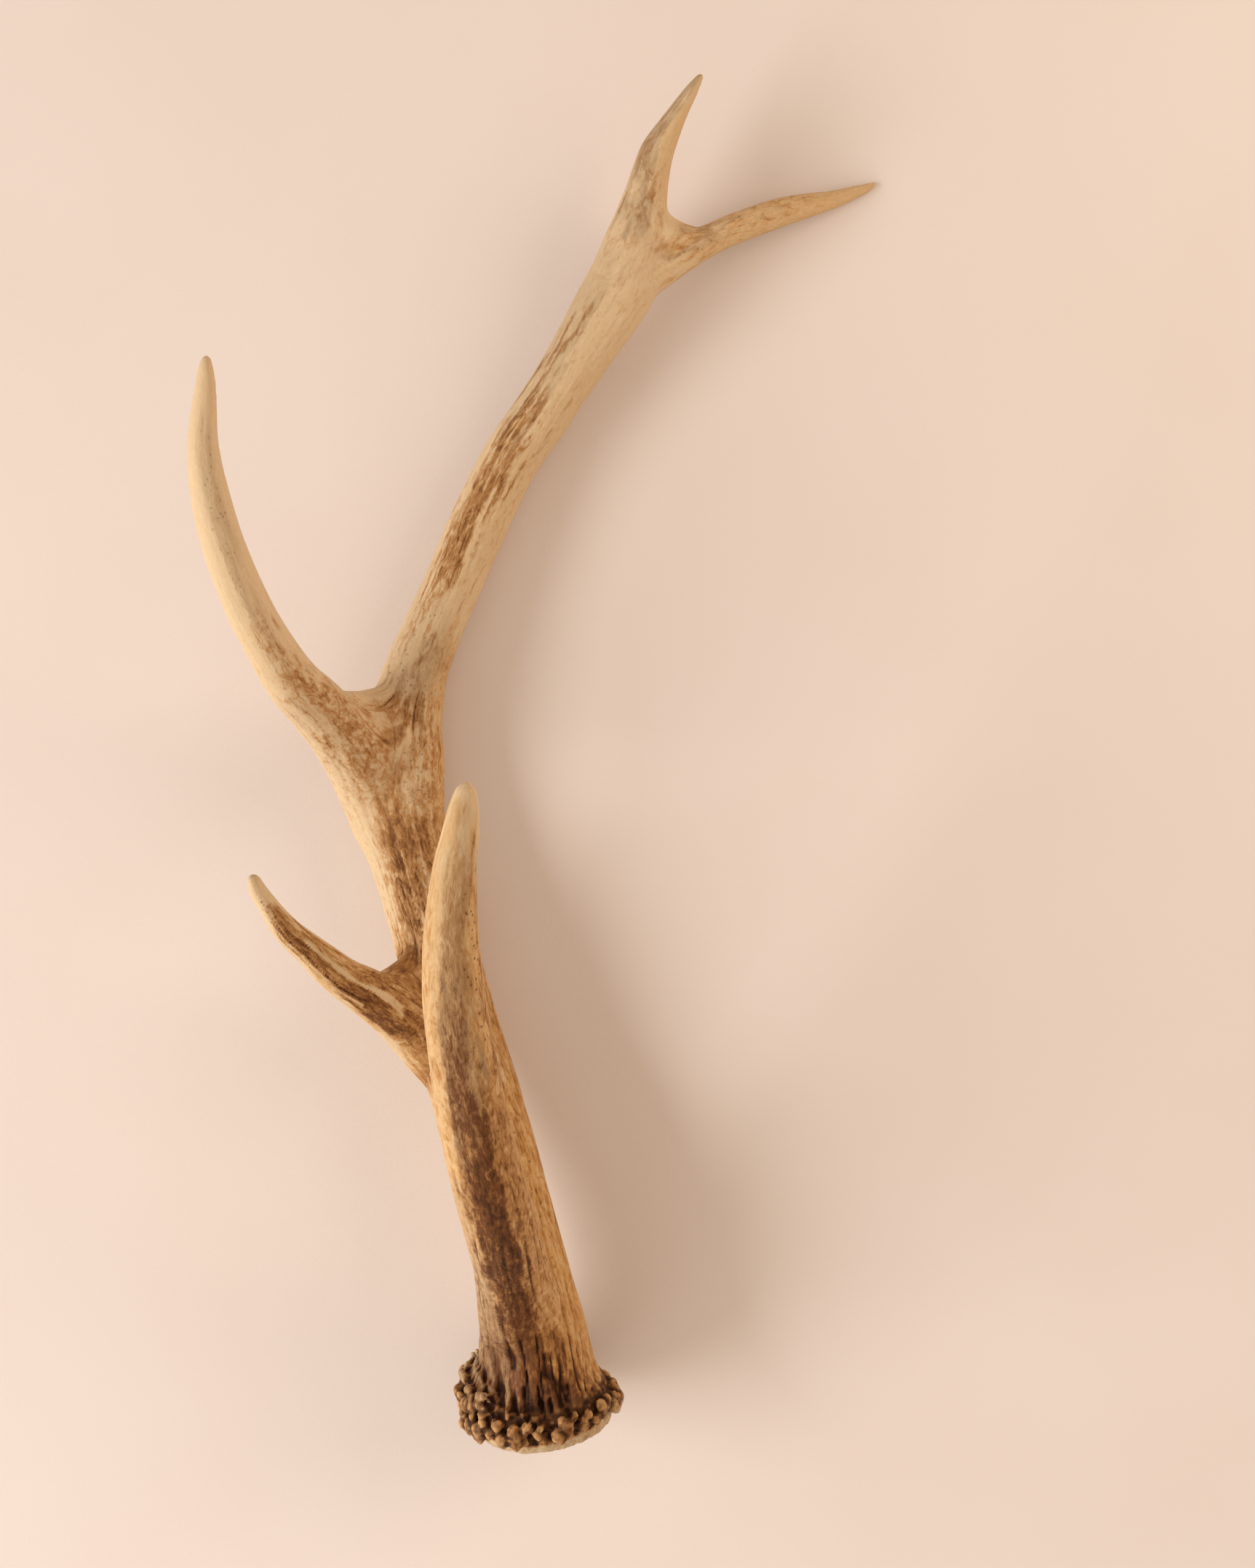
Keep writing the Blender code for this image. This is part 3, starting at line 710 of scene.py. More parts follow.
def carveSkin(skin, spots):
    # Sinks the gutters and roughens the burr, then measures what has become hollow.
    mesh = skin.data
    points = readVectors(mesh.vertices, "co")
    normals = readVectors(mesh.vertices, "normal")
    sink = sum(spot["share"] * sinkOfBranch(name, spot) for name, spot in spots.items())
    nearBurr = 1 - smoothStep(spots["beam"]["along"], *burrRoughness["reach"])
    sink += sinkOfClefts(points, normals) * (1 - pearlyOf(points)[0])
    small, large = burrRoughness["coarseCells"]
    smallSeed, largeSeed, fineSeed = burrRoughness["seeds"]
    coarse = valueNoise(points / small, smallSeed) + valueNoise(points / large, largeSeed) - 1
    fine = valueNoise(points / burrRoughness["fineCell"], fineSeed) - 0.5
    sink += nearBurr * burrRoughness["coarse"] * coarse
    sink += nearBurr * burrRoughness["fine"] * fine
    points -= normals * sink[:, None]
    mesh.vertices.foreach_set("co", points.ravel())
    mesh.update()
    normals = readVectors(mesh.vertices, "normal")
    edges = np.empty(len(mesh.edges) * 2, int)
    mesh.edges.foreach_get("vertices", edges)
    evened = roundedBy(points, edges.reshape(-1, 2), hollows["rounds"])
    hollow = np.einsum("ij,ij->i", evened - points, normals)
    return points, normals, hollow


# What colours the bone. Each stain is branch, from, to in mm, middle and half turn in
# degrees, and how strong it is.
stains = {
    "brown": [
        ("beam", 27, 126, 44, 16, 0.16),
        ("beam", 30, 131, 2, 14, 0.4),
        ("brow tine", 150, 250, 22, 18, 0.5),
        ("brow tine", 186, 268, 152, 26, 0.16),
        ("beam", 140, 250, 84, 56, 0.28),
        ("beam", 108, 176, 14, 34, 0.34),
        ("bez tine", -20, 128, 76, 62, 0.46),
        ("bez tine", 30, 122, 98, 30, 0.78),
        ("bez tine", 112, 134, 95, 30, 0.6),
        ("trez tine", 30, 90, 74, 50, 0.36),
        ("trez tine", 62, 130, 60, 34, 0.32),
        ("trez tine", 110, 175, 76, 26, 0.26),
        ("beam", 300, 345, 92, 24, 0.5),
        ("beam", 325, 385, 104, 23, 0.6),
        ("beam", 362, 408, 120, 21, 0.58),
        ("beam", 394, 418, 132, 17, 0.64),
        ("back tine", 12, 56, 95, 44, 0.1),
        ("beam", 292, 404, 112, 40, 0.3),
        ("back tine", 30, 110, 120, 60, 0.14),
        ("top tine", 30, 84, 108, 40, 0.34),
        ("top tine", -10, 40, 90, 60, 0.14),
        ("beam", 425, 480, 80, 60, 0.12),
    ],
    "gold": [
        ("beam", 0, 131, 20, 62, 0.85),
        ("beam", 126, 296, 10, 44, 0.6),
        ("brow tine", 19, 258, 34, 58, 0.7),
        ("brow tine", 60, 268, 140, 60, 0.6),
        ("beam", 30, 180, 150, 50, 0.3),
        ("beam", 330, 430, 40, 40, 0.14),
        ("bez tine", -10, 110, 60, 90, 0.6),
        ("trez tine", 20, 100, 30, 50, 0.1),
        ("back tine", 20, 130, 60, 180, 0.45),
        ("top tine", 30, 90, 20, 50, 0.3),
    ],
    "grey": [
        ("beam", 5, 63, 146, 24, 0.6),
        ("beam", 263, 301, 118, 64, 0.24),
        # Partly grey stain, partly painted shade: the band along the top of the brow tine.
        ("brow tine", 150, 216, 92, 20, 0.72),
        ("top tine", 16, 84, 122, 42, 0.6),
        ("beam", 380, 480, 142, 40, 0.34),
        ("trez tine", 120, 190, 70, 24, 0.3),
        ("back tine", 18, 44, 104, 26, 0.5),
    ],
    "spots": [
        ("brow tine", 150, 250, 34, 34, 1.0),
        ("beam", 23, 116, 62, 26, 0.8),
        ("beam", 156, 296, 70, 60, 0.6),
        ("back tine", 14, 50, 95, 40, 0.5),
        ("trez tine", 100, 180, 70, 30, 0.5),
        ("bez tine", 100, 136, 95, 40, 0.8),
    ],
}

# Stains over the foot of the antler, where the brow tine leaves the beam, and partly painted shade
# down the brow tine's middle. Each is a stroke seen from above: x, y and half width in mm, then
# how strong it is.
footStrokes = {
    "brown": [
        [(-31, -234, 17, 1.5), (-32, -226, 11, 1.2), (-35, -214, 8, 0.86), (-38, -202, 8, 0.78)],
        [(-23, -232, 10, 0.9), (-25, -220, 7, 0.7), (-28, -206, 4, 0.5)],
        [(-44, -232, 20, 0.8), (-44, -218, 13, 0.66), (-42, -200, 9, 0.5)],
        # Down the brow tine's middle: partly brown stain, partly painted shade.
        [(-38, -206, 7, 0.95), (-41, -188, 6, 0.95), (-43, -170, 6, 1.05), (-46, -148, 5.5, 1.1),
         (-48, -134, 5, 1.05), (-50, -118, 4.5, 0.95), (-52, -102, 5, 0.78), (-54, -82, 5, 0.62),
         (-54, -60, 5, 0.46), (-53, -35, 4, 0.36), (-51, -8, 3, 0.2)],
        [(-26, -224, 13, 0.34), (-30, -202, 11, 0.26), (-33, -178, 10, 0.32), (-37, -155, 9, 0.42),
         (-41, -132, 8, 0.45), (-44, -110, 7, 0.42), (-47, -92, 6, 0.3), (-50, -76, 6, 0.15)],
        [(-51, -222, 11, 0.5), (-52, -204, 8, 0.45), (-53, -186, 6, 0.35), (-55, -168, 4, 0.2)],
    ],
    "gold": [
        [(-30, -232, 22, 0.7), (-33, -200, 16, 0.8), (-38, -160, 13, 0.8), (-44, -110, 10, 0.6),
         (-49, -70, 8, 0.5)],
    ],
    "grey": [
        [(-51, -226, 11, 0.9), (-52, -208, 9, 0.85), (-54, -184, 6, 0.7), (-56, -160, 5, 0.45),
         (-57, -136, 4, 0.3)],
        # Partly grey stain, partly painted shade down the brow tine's middle.
        [(-51, -118, 6, 0.3), (-53, -98, 6, 0.5), (-54, -78, 6, 0.6), (-54, -56, 5, 0.5),
         (-53, -30, 4, 0.45), (-51, -8, 3, 0.3)],
    ],
}

# The same over the second and third forks, under the brow tine.
forkStrokes = {
    "brown": [
        [(-80, -78, 6, 0.46), (-82, -58, 7, 0.62), (-84, -38, 9, 0.64), (-87, -18, 10, 0.68),
         (-93, -2, 12, 0.22), (-99, 12, 12, 0.24), (-107, 24, 9, 0.2), (-114, 34, 7, 0.2)],
        [(-75, -42, 5, 0.34), (-76, -22, 6, 0.26), (-77, -2, 7, 0.1), (-79, 16, 7, 0.26),
         (-82, 30, 6, 0.4)],
        [(-97, 13, 4, 0.32), (-90, 17, 4, 0.56), (-86, 20, 3, 0.52)],
        [(-97, 28, 4, 0.26), (-90, 28, 5, 0.42), (-84, 31, 4, 0.42)],
        [(-101, -71, 4, 0.4), (-93, -72, 5, 0.52), (-87, -71, 6, 0.58), (-82, -64, 6, 0.5)],
    ],
    "gold": [
        [(-68, -60, 6, 0.5), (-71, -30, 6, 0.6), (-72, 0, 6, 0.7), (-73, 20, 6, 0.7),
         (-70, 50, 5, 0.45)],
    ],
    "grey": [
        [(-83, 40, 8, 0.55), (-78, 50, 8, 0.5), (-74, 60, 6, 0.2)],
    ],
}

# Pale ridges of bone that stand clear of the brown: as above, with the half turn narrow.
paleRidges = [
    ("beam", 218, 258, 76, 5, 0.8),
    ("bez tine", 48, 98, 64, 9, 1.0),
    ("bez tine", 62, 118, 116, 6, 0.6),
    ("trez tine", 52, 90, 96, 8, 0.6),
]

# Where each branch turns smooth from wear, in mm along it: from and fully.
wornFrom = {
    "beam": (280, 640),
    "brow tine": (170, 300),
    "bez tine": (112, 132),
    "trez tine": (100, 165),
    "top tine": (20, 120),
    "back tine": (56, 130),
}

stainEdges = {
    "facing": (-0.45, 0.25),         # how far up the skin faces where strokes start and are full
    "waver": 0.55,           # how unevenly their edges run
    "footEnd": (-210, -180),         # y in mm, past which they lie on the brow tine alone
    "forkStart": (-100, -85),        # y in mm, from which the forks' strokes lie
    "patchSoft": (30, 32),   # mm along and degrees round, for the patches
    "ridgeSoft": (8, 6),     # and for the pale ridges
    "shareGain": 1.6,        # how far the patches reach into the next branch
    "sealClean": 0.85,       # how much of the brown and the gold the seal loses
    "sealGrey": 0.45,        # and how grey it is at least
}


def stainSkin(spots, hollow, points, normals):
    # Works out every field that the bone's material reads.
    fields = {}
    upward = smoothStep(normals[:, 2], *stainEdges["facing"])
    waver = sum(spot["wobbleTurn"] * spot["share"] for spot in spots.values())
    waver = stainEdges["waver"] * waver
    foot = 1 - smoothStep(points[:, 1], *stainEdges["footEnd"])
    onTop = np.maximum(spots["brow tine"]["share"], foot)
    below = smoothStep(points[:, 1], *stainEdges["forkStart"]) * (1 - spots["brow tine"]["share"])
    for stain, patches in stains.items():
        strength = np.zeros(len(hollow))
        for layer, where in ((footStrokes, onTop), (forkStrokes, below)):
            for stroke in layer.get(stain, []):
                strength = np.maximum(strength, strokeAt(points, stroke, waver) * upward * where)
        for branch, start, end, middle, half, amount in patches:
            spot = spots[branch]
            there = patch(spot, start, end, middle, half, *stainEdges["patchSoft"]) * amount
            share = np.minimum(1, spot["share"] * stainEdges["shareGain"])
            strength = np.maximum(strength, there * share)
        fields[stain] = strength
    for branch, start, end, middle, half, amount in paleRidges:
        spot = spots[branch]
        ridge = patch(spot, start, end, middle, half, *stainEdges["ridgeSoft"])
        pale = 1 - amount * spot["share"] * ridge
        fields["brown"] *= pale
        fields["gold"] *= pale
    fields["pearly"], bare = pearlyOf(points)
    for stain in ("brown", "gold"):
        fields[stain] *= 1 - stainEdges["sealClean"] * bare
    fields["grey"] = np.maximum(fields["grey"], stainEdges["sealGrey"] * bare)
    # These two measures drive painted light: shade in the hollows, clefts and gaps between the
    # pearls, and a highlight on the pearls' tips.
    fields["hollow"] = np.clip(hollow / hollows["deep"], -1, 1)
    fields["tip"] = np.clip(-hollow / hollows["tip"], 0, 1)
    fields["worn"] = sum(spot["share"] * smoothStep(spot["along"], *wornFrom[name])
                         for name, spot in spots.items())
    return fields


def grainOfSkin(spots):
    # The bone space of the two nearest branches, and how much of the second one there is.
    shares = np.array([spot["share"] for spot in spots.values()])
    grains = np.array([spot["grain"] for spot in spots.values()])
    order = np.argsort(-shares, axis=0)
    every = np.arange(shares.shape[1])
    first, second = order[0], order[1]
    mixed = shares[second, every] / (shares[first, every] + shares[second, every])
    return grains[first, every], grains[second, every], mixed


def keepField(mesh, name, values):
    if values.ndim == 2:
        made = mesh.attributes.new(name, "FLOAT_VECTOR", "POINT")
        made.data.foreach_set("vector", values.astype(np.float32).ravel())
    else:
        made = mesh.attributes.new(name, "FLOAT", "POINT")
        made.data.foreach_set("value", values.astype(np.float32))


def boxFit(points):
    # Gives the way from mm over the photo's middle to metres in the solids' box.
    low, high = points.min(axis=0), points.max(axis=0)
    boxLow, boxHigh = (np.array(corner) for corner in cadBox)

    def fitted(places):
        return boxLow + (places - low) / (high - low) * (boxHigh - boxLow)

    return fitted


# The cuts between the pieces: the branch of each, and mm along it.
boneCuts = [
    ("brow tine", 76.0),
    ("bez tine", 44.0),
    ("beam", 177.0),
    ("trez tine", 62.0),
    ("beam", 277.0),
    ("top tine", 34.0),
    ("back tine", 40.0),
]
cutReach = 0.95              # how far round its middle a cut looks for faces, in widths
cutSlack = 1e-5              # metres within which a point lies on the cut

pieceNames = {
    "burr_and_lower_beam": "burrAndLowerBeamBone",
    "brow_tine": "browTineBone",
    "bez_tine": "bezTineBone",
    "middle_beam": "middleBeamBone",
    "trez_tine": "trezTineBone",
    "upper_beam": "upperBeamBone",
    "top_tine": "topTineBone",
    "back_tine": "backTineBone",
}


def cutAtForks(skin, lines):
    # Cuts straight across each branch, closes both ends and parts the pieces.
    bm = bmesh.new()
    bm.from_mesh(skin.data)
    for branch, along in boneCuts:
        line = lines[branch]
        i = int(np.searchsorted(line["run"], along))
        place, ahead = Vector(line["places"][i]), Vector(line["ahead"][i])
        reach = line["rows"][i, 3:5].max() * cutReach
        near = [f for f in bm.faces if (f.calc_center_median() - place).length < reach]
        around = {e for f in near for e in f.edges} | {v for f in near for v in f.verts}
        cut = bmesh.ops.bisect_plane(bm, geom=near + list(around), dist=cutSlack,
                                     plane_co=place, plane_no=ahead)["geom_cut"]
        bmesh.ops.split_edges(bm, edges=[e for e in cut if isinstance(e, bmesh.types.BMEdge)])
    bmesh.ops.holes_fill(bm, edges=[e for e in bm.edges if e.is_boundary], sides=0)
    bm.to_mesh(skin.data)
    bm.free()
    for thing in bpy.context.view_layer.objects:
        thing.select_set(thing == skin)
    bpy.context.view_layer.objects.active = skin
    bpy.ops.object.mode_set(mode="EDIT")
    bpy.ops.mesh.select_all(action="SELECT")
    bpy.ops.mesh.separate(type="LOOSE")
    bpy.ops.object.mode_set(mode="OBJECT")
    return list(bpy.context.selected_objects)


def linear(colour):
    # From the 0 to 255 that a colour picker shows to the shader's own scale.
    return tuple((c / 255 / 12.92 if c < 10.3 else ((c / 255 + 0.055) / 1.055) ** 2.4)
                 for c in colour) + (1.0,)


def addNode(tree, kind, sockets=None, **settings):
    made = tree.nodes.new("ShaderNode" + kind)
    for name, value in settings.items():
        setattr(made, name, value)
    for key, value in (sockets or {}).items():
        if isinstance(value, bpy.types.NodeSocket):
            tree.links.new(value, made.inputs[key])
        else:
            made.inputs[key].default_value = value
    return made


def calculate(tree, operation, first, second):
    return addNode(tree, "Math", {0: first, 1: second}, operation=operation).outputs[0]


def plus(tree, first, second):
    return calculate(tree, "ADD", first, second)


def minus(tree, first, second):
    return calculate(tree, "SUBTRACT", first, second)


def times(tree, first, second):
    return calculate(tree, "MULTIPLY", first, second)


def larger(tree, first, second):
    return calculate(tree, "MAXIMUM", first, second)


def rise(tree, value, low, high):
    return addNode(tree, "MapRange", {"Value": value, "From Min": low, "From Max": high},
                   interpolation_type="SMOOTHSTEP").outputs[0]


def rescale(tree, value, low, high, newLow, newHigh):
    return addNode(tree, "MapRange", {"Value": value, "From Min": low, "From Max": high,
                                      "To Min": newLow, "To Max": newHigh}).outputs[0]


def blendColour(tree, factor, first, second):
    return addNode(tree, "Mix", {0: factor, 6: first, 7: second}, data_type="RGBA").outputs[2]


def field(tree, name):
    return addNode(tree, "Attribute", attribute_name=name).outputs["Fac"]


boneGrain = {                # cells per mm across and along the grain
    "streak": {"across": 1.15, "along": 0.27, "detail": 4.0, "wavy": 0.7},
    "mottle": {"across": 0.4, "along": 0.2, "detail": 3.0, "wavy": 0.8},
    "fine": {"across": 3.2, "along": 0.7, "detail": 2.0, "wavy": 0.3},
    "pore": {"across": 0.34, "along": 0.4, "rim": 0.27, "floor": 0.12},
}
grainRoughness = 0.6


def makeGrainGroup():
    # Streaks, mottling, fine lines and pores at one point of bone space.
    tree = bpy.data.node_groups.new("bone grain", "ShaderNodeTree")
    tree.interface.new_socket("grain", in_out="INPUT", socket_type="NodeSocketVector")
    for name in boneGrain:
        tree.interface.new_socket(name, in_out="OUTPUT", socket_type="NodeSocketFloat")
    start, end = tree.nodes.new("NodeGroupInput"), tree.nodes.new("NodeGroupOutput")
    for name, grain in boneGrain.items():
        cells = (grain["across"], grain["across"], grain["along"])
        place = addNode(tree, "VectorMath", {0: start.outputs[0], 1: cells},
                        operation="MULTIPLY").outputs[0]
        if name == "pore":
            dots = addNode(tree, "TexVoronoi", {"Vector": place, "Scale": 1.0})
            made = rise(tree, dots.outputs["Distance"], grain["rim"], grain["floor"])
        else:
            noise = addNode(tree, "TexNoise", {
                "Vector": place, "Scale": 1.0, "Detail": grain["detail"],
                "Roughness": grainRoughness, "Distortion": grain["wavy"]})
            made = noise.outputs["Fac"]
        tree.links.new(made, end.inputs[name])
    return tree


def readGrain(tree):
    # The grain of the two nearest branches, blended by their shares.
    group = makeGrainGroup()
    share = field(tree, "grainShare")
    sides = []
    for name in ("grainFirst", "grainSecond"):
        place = addNode(tree, "Attribute", attribute_name=name).outputs["Vector"]
        sides.append(addNode(tree, "Group", {0: place}, node_tree=group).outputs)
    first, second = sides
    return {name: addNode(tree, "Mix", {0: share, 2: first[name], 3: second[name]}).outputs[0]
            for name in boneGrain}


boneColours = {              # as a colour picker reads them
    "ivory": (205, 178, 140),
    "gold": (194, 150, 92),
    "grey": (144, 117, 88),
    "tan": (166, 117, 65),
    "brown": (102, 61, 34),
    "dark": (54, 31, 18),
    # The last three are painted light: shade for the clefts and the gaps between the pearls, a
    # highlight for the pearls' tips and shade for their feet.
    "cleftShade": (46, 25, 14),
    "pearl": (186, 142, 92),
    "pearlFootShade": (130, 88, 52),
}


# How the stains, the grain, the wear and the painted light and shade make up the look of the bone.
boneLook = {
    "streakShift": 1.3, "mottleShift": 1.5, "fineShift": 0.6,  # how far each moves the stain
    "goldMark": 0.6,         # how much gold counts as a mark, beside brown
    "fullMark": 0.55,
    "plainShare": 0.72,      # of the shifts that unmarked bone keeps
    "markedShare": 0.28,     # and how much more marked bone has
    "smoothed": 0.5,         # of the grain that full wear takes away
    "goldStain": 0.12,       # how far gold deepens the stain; hollows add painted shade to it and ridges painted light
    "hollowShade": 0.4,
    "plainStain": 0.03,      # the stain of plain bone, and how far wear takes it back
    "wornPaling": 0.15,
    "tan": (-0.02, 0.5, 0.9),        # from which stain, fully at which, and how strong
    "brown": (0.36, 0.95, 0.92),
    "dark": (0.85, 1.5, 0.85),
    "greyBlotch": (0.3, 0.7, 0.6, 1.1),      # of the mottling, and the strength it gives
    "pearlHighlight": (0.2, 0.9),          # from where the painted highlight on a pearl's tip starts, and where it is full
    "pearlCover": 0.85,
    "poreCover": 0.75,
    "roughStain": (0.05, 0.5),       # the brown from which the bone is rough, and fully
    "cleftHollow": (0.12, 0.85),     # the hollow from which painted shade darkens the clefts, and fully
    "pearlGap": (-0.9, 0.35), "pearlGapCover": 0.86,         # the same painted shade between the pearls
    "fineTone": 0.5, "fineToneMarked": 0.4,          # how far the fine lines change the tone
    "streakTone": (0.0, 1.0, 0.84, 1.16),    # of the streaks, and the tone they give
    "roughness": (0.2, 1.6, 0.36, 0.62),     # of the brown, and the roughness it gives
    "plainRelief": 0.12, "roughRelief": 0.5, "fineRelief": 0.05, "poreRelief": 0.15,
    "bumpStrength": 0.8,
    "shine": 0.06,
}


def stainOfBone(tree, grain, fields):
    # How much stain each point has, with painted shade in its hollows and painted light on its
    # ridges, and what of its marks and wear the later steps need.
    streak, mottle, fine = (times(tree, minus(tree, grain[name], 0.5), boneLook[name + "Shift"])
                            for name in ("streak", "mottle", "fine"))
    marks = plus(tree, fields["brown"], times(tree, fields["gold"], boneLook["goldMark"]))
    marked = rise(tree, marks, 0.0, boneLook["fullMark"])
    share = plus(tree, times(tree, marked, boneLook["markedShare"]), boneLook["plainShare"])
    unworn = minus(tree, 1.0, times(tree, fields["worn"], boneLook["smoothed"]))
    shift = times(tree, plus(tree, streak, mottle), share)
    shift = times(tree, plus(tree, shift, fine), unworn)
    stainAndShade = plus(tree, fields["brown"], shift)
    stainAndShade = plus(tree, stainAndShade, times(tree, fields["gold"], boneLook["goldStain"]))
    # Painted light and shade: hollows deepen the stain and ridges thin it.
    stainAndShade = plus(tree, stainAndShade, times(tree, fields["hollow"], boneLook["hollowShade"]))
    wornPaling = times(tree, fields["worn"], boneLook["wornPaling"])
    stainAndShade = plus(tree, stainAndShade, minus(tree, boneLook["plainStain"], wornPaling))
    return {"stainAndShade": stainAndShade, "mottleShift": mottle, "marked": marked, "unworn": unworn}


def coverOf(tree, stainAndShade, name):
    start, full, strength = boneLook[name]
    return times(tree, rise(tree, stainAndShade, start, full), strength)


def colourOfBone(tree, grain, fields, state):
    # From the ivory ground up: gold, tan, grey, brown, dark, the pearls with a painted highlight
    # on their tips and painted shade on their sides, pores, and painted shade in the clefts and
    # between the pearls.
    colours = {name: linear(value) for name, value in boneColours.items()}
    hollow, pearly, gold = fields["hollow"], fields["pearly"], fields["gold"]
    goldCover = plus(tree, gold, times(tree, state["mottleShift"], gold))
    colour = blendColour(tree, goldCover, colours["ivory"], colours["gold"])
    colour = blendColour(tree, coverOf(tree, state["stainAndShade"], "tan"), colour, colours["tan"])
    blotch = rescale(tree, grain["mottle"], *boneLook["greyBlotch"])
    colour = blendColour(tree, times(tree, fields["grey"], blotch), colour, colours["grey"])
    colour = blendColour(tree, state["brownCover"], colour, colours["brown"])
    colour = blendColour(tree, coverOf(tree, state["stainAndShade"], "dark"), colour, colours["dark"])
    # Painted highlight on each pearl's tip, fading to painted shade on its sides.
    pearlColour = blendColour(tree, rise(tree, fields["tip"], *boneLook["pearlHighlight"]),
                              colours["pearlFootShade"], colours["pearl"])
    colour = blendColour(tree, times(tree, pearly, boneLook["pearlCover"]), colour, pearlColour)
    colour = blendColour(tree, state["poreCover"], colour, colours["brown"])
    # Painted shade in the clefts and in the gaps between the pearls.
    cleftShade = times(tree, rise(tree, hollow, *boneLook["cleftHollow"]), state["rough"])
    pearlGap = times(tree, rise(tree, hollow, *boneLook["pearlGap"]),
                     times(tree, pearly, boneLook["pearlGapCover"]))
    colour = blendColour(tree, larger(tree, cleftShade, pearlGap), colour, colours["cleftShade"])
    fineShare = plus(tree, times(tree, state["marked"], boneLook["fineToneMarked"]),
                     boneLook["fineTone"])
    fineTone = times(tree, times(tree, minus(tree, grain["fine"], 0.5), fineShare),
                     state["unworn"])
    tone = plus(tree, rescale(tree, grain["streak"], *boneLook["streakTone"]), fineTone)
    return addNode(tree, "HueSaturation", {"Value": tone, "Color": colour}).outputs[0]


def reliefOfBone(tree, grain, state):
    share = plus(tree, times(tree, state["rough"], boneLook["roughRelief"]),
                 boneLook["plainRelief"])
    height = times(tree, grain["streak"], share)
    height = plus(tree, height, times(tree, grain["fine"], boneLook["fineRelief"]))
    height = minus(tree, height, times(tree, state["poreCover"], boneLook["poreRelief"]))
    return addNode(tree, "Bump", {"Height": height, "Distance": mm,
                                  "Strength": boneLook["bumpStrength"]}).outputs[0]


def makeBone():
    bone = bpy.data.materials.new("antler bone")
    bone.use_nodes = True
    tree = bone.node_tree
    shader = tree.nodes["Principled BSDF"]
    grain = readGrain(tree)
    fields = {name: field(tree, name) for name in (
        "brown", "gold", "grey", "spots", "hollow", "tip", "pearly", "worn")}
    state = stainOfBone(tree, grain, fields)
    state["brownCover"] = coverOf(tree, state["stainAndShade"], "brown")
    state["poreCover"] = times(tree, times(tree, grain["pore"], fields["spots"]),
                               boneLook["poreCover"])
    state["rough"] = larger(tree, rise(tree, fields["brown"], *boneLook["roughStain"]),
                            fields["pearly"])
    tree.links.new(colourOfBone(tree, grain, fields, state), shader.inputs["Base Color"])
    roughness = rescale(tree, plus(tree, state["brownCover"], grain["fine"]),
                        *boneLook["roughness"])
    tree.links.new(roughness, shader.inputs["Roughness"])
    tree.links.new(reliefOfBone(tree, grain, state), shader.inputs["Normal"])
    shader.inputs["Specular IOR Level"].default_value = boneLook["shine"]
    return bone


def dressPieces(skin, lines):
    material = makeBone()
    parts = cutAtForks(skin, lines)
    for node in sorted(pieceNames, key=lambda n: -(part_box(n)[1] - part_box(n)[0]).length):
        low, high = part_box(node)
        closest = min(parts, key=lambda part: sum(
            (Vector(part.bound_box[i]) - corner).length for i, corner in ((0, low), (6, high))))
        parts.remove(closest)
        closest.name = closest.data.name = pieceNames[node]
        mesh = closest.data
        mesh.materials.clear()
        mesh.materials.append(material)
        mesh.shade_smooth()
        normals = readVectors(mesh.attributes["skinNormal"].data, "vector")
        mesh.normals_split_custom_set_from_vertices(unitRows(normals))
        mesh.attributes.remove(mesh.attributes["skinNormal"])
        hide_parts(node)
        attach(closest, "root")
        print("antler:", closest.name, len(mesh.polygons), "faces")


def makeAntler():
    lines = {name: middleLine(stations) for name, stations in branchStations.items()}
    skin = growSkin(lines)
    print("antler: skin of", len(skin.data.vertices), "points")
    spots = readSkin(readVectors(skin.data.vertices, "co"), lines)
    addWobble(spots)
    points, normals, hollow = carveSkin(skin, spots)
    print("antler: gutters and clefts carved")
    fields = stainSkin(spots, hollow, points, normals)
    for name, values in fields.items():
        keepField(skin.data, name, values)
    for name, values in zip(("grainFirst", "grainSecond", "grainShare"), grainOfSkin(spots)):
        keepField(skin.data, name, values)
    keepField(skin.data, "skinNormal", normals)
    print("antler: bone stained")
    fitted = boxFit(points)
    skin.data.vertices.foreach_set("co", fitted(points).ravel())
    skin.data.update()
    for line in lines.values():
        line["places"] = fitted(line["places"])
        line["rows"] = line["rows"] * mm
    dressPieces(skin, lines)


tableTop = {
    "size": 6.0,             # metres
    "squares": 40,
    "colour": (222, 210, 201),
    "fleck": (220, 207, 197),
    "clouds": 9.0,           # per metre
    "cloudEdge": (0.3, 0.8),
    "grit": 900.0,           # per metre
    "gritHeight": 0.0002,
    "gritStrength": 0.2,
    "roughness": 0.75,
    "shine": 0.2,
}

# A large soft lamp low on the left, a weak one by the burr and a weak warm one on the right.
lamps = {
    "key": {"toward": (-0.84, -0.26, 0.475), "distance": 2.4, "wide": 2.1, "high": 0.8,
            "watts": 55.5, "colour": (0.97, 0.985, 1.0)},
    "low": {"toward": (-0.35, -0.88, 0.35), "distance": 1.2, "wide": 0.8, "high": 0.5,
            "watts": 2.0, "colour": (1.0, 0.97, 0.92)},
    "fill": {"toward": (0.78, 0.30, 0.45), "distance": 1.4, "wide": 1.2, "high": 1.0,
             "watts": 9.0, "colour": (1.0, 0.84, 0.70)},
}
roomLight = {"colour": (1.0, 0.80, 0.64), "strength": 0.56}


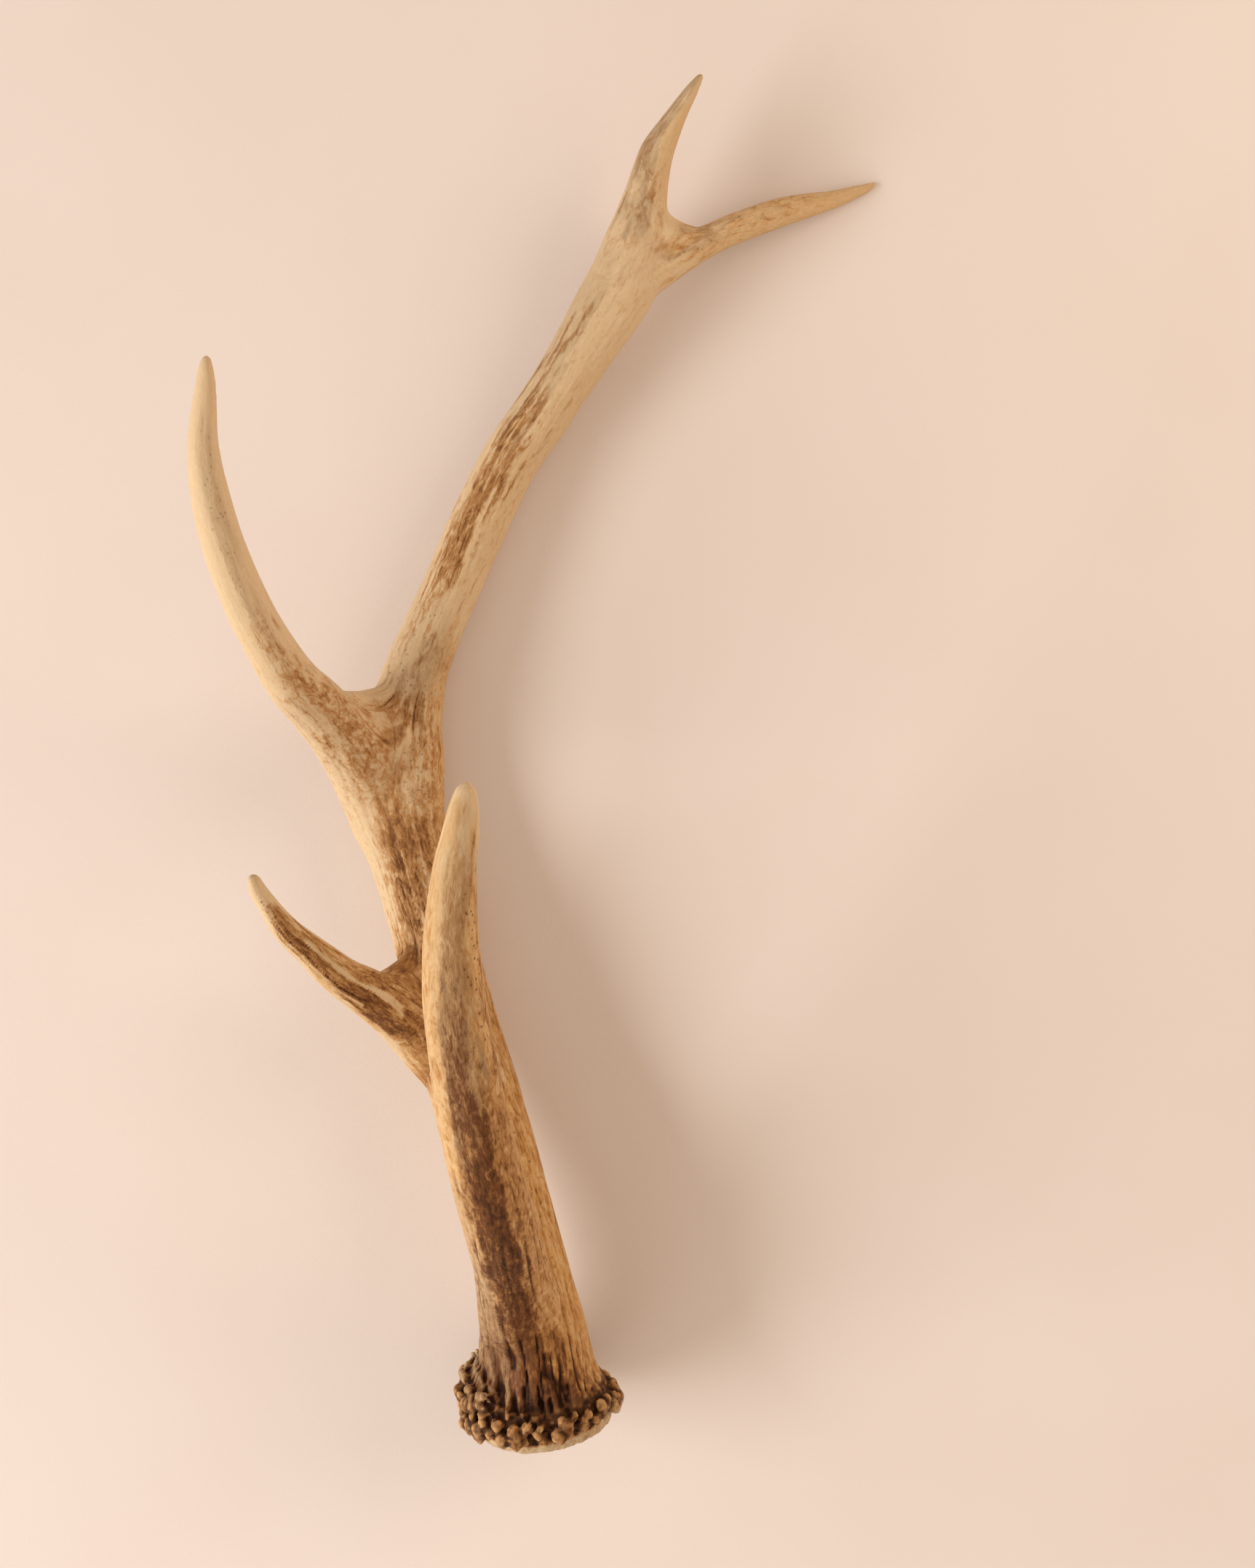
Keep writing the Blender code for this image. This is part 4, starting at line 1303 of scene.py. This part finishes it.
def makeTable():
    bm = bmesh.new()
    squares = tableTop["squares"]
    bmesh.ops.create_grid(bm, x_segments=squares, y_segments=squares, size=tableTop["size"] / 2)
    table = objectFrom(bm, "tableTop")
    paint = bpy.data.materials.new("pale table")
    paint.use_nodes = True
    tree = paint.node_tree
    shader = tree.nodes["Principled BSDF"]
    spread = addNode(tree, "TexCoord").outputs["Object"]
    cloud = addNode(tree, "TexNoise", {"Vector": spread, "Scale": tableTop["clouds"],
                                       "Detail": 3.0})
    colour = blendColour(tree, rise(tree, cloud.outputs["Fac"], *tableTop["cloudEdge"]),
                         linear(tableTop["colour"]), linear(tableTop["fleck"]))
    tree.links.new(colour, shader.inputs["Base Color"])
    grit = addNode(tree, "TexNoise", {"Vector": spread, "Scale": tableTop["grit"],
                                      "Detail": 2.0})
    bump = addNode(tree, "Bump", {"Height": grit.outputs["Fac"],
                                  "Distance": tableTop["gritHeight"],
                                  "Strength": tableTop["gritStrength"]})
    tree.links.new(bump.outputs[0], shader.inputs["Normal"])
    shader.inputs["Roughness"].default_value = tableTop["roughness"]
    shader.inputs["Specular IOR Level"].default_value = tableTop["shine"]
    table.data.materials.append(paint)
    print("antler: table laid")


def makeLights():
    for name, lamp in lamps.items():
        light = bpy.data.lights.new(name, "AREA")
        light.shape = "ELLIPSE"
        light.size = lamp["wide"]
        light.size_y = lamp["high"]
        light.energy = lamp["watts"]
        light.color = lamp["colour"]
        holder = bpy.data.objects.new(name, light)
        toward = Vector(lamp["toward"]).normalized()
        holder.location = toward * lamp["distance"]
        holder.rotation_euler = toward.to_track_quat("Z", "Y").to_euler()
        bpy.context.scene.collection.objects.link(holder)
    world = bpy.data.worlds.new("room")
    world.use_nodes = True
    back = world.node_tree.nodes["Background"]
    back.inputs["Color"].default_value = (*roomLight["colour"], 1.0)
    back.inputs["Strength"].default_value = roomLight["strength"]
    bpy.context.scene.world = world
    bpy.context.scene.view_settings.view_transform = "Standard"
    print("antler: lamps and room light set")


# Straight above, as in the photo: the place in mm, then the lens and the film.
cameraPlace = {"x": 25.05, "y": -8.75, "height": 867.7, "lens": 50.0, "film": 36.0}


def makeCamera():
    camera = bpy.data.cameras.new("camera")
    camera.lens = cameraPlace["lens"]
    camera.sensor_width = cameraPlace["film"]
    holder = bpy.data.objects.new("camera", camera)
    holder.location = (cameraPlace["x"] * mm, cameraPlace["y"] * mm, cameraPlace["height"] * mm)
    bpy.context.scene.collection.objects.link(holder)
    bpy.context.scene.camera = holder
    print("antler: camera placed")


makeAntler()
makeTable()
makeLights()
makeCamera()
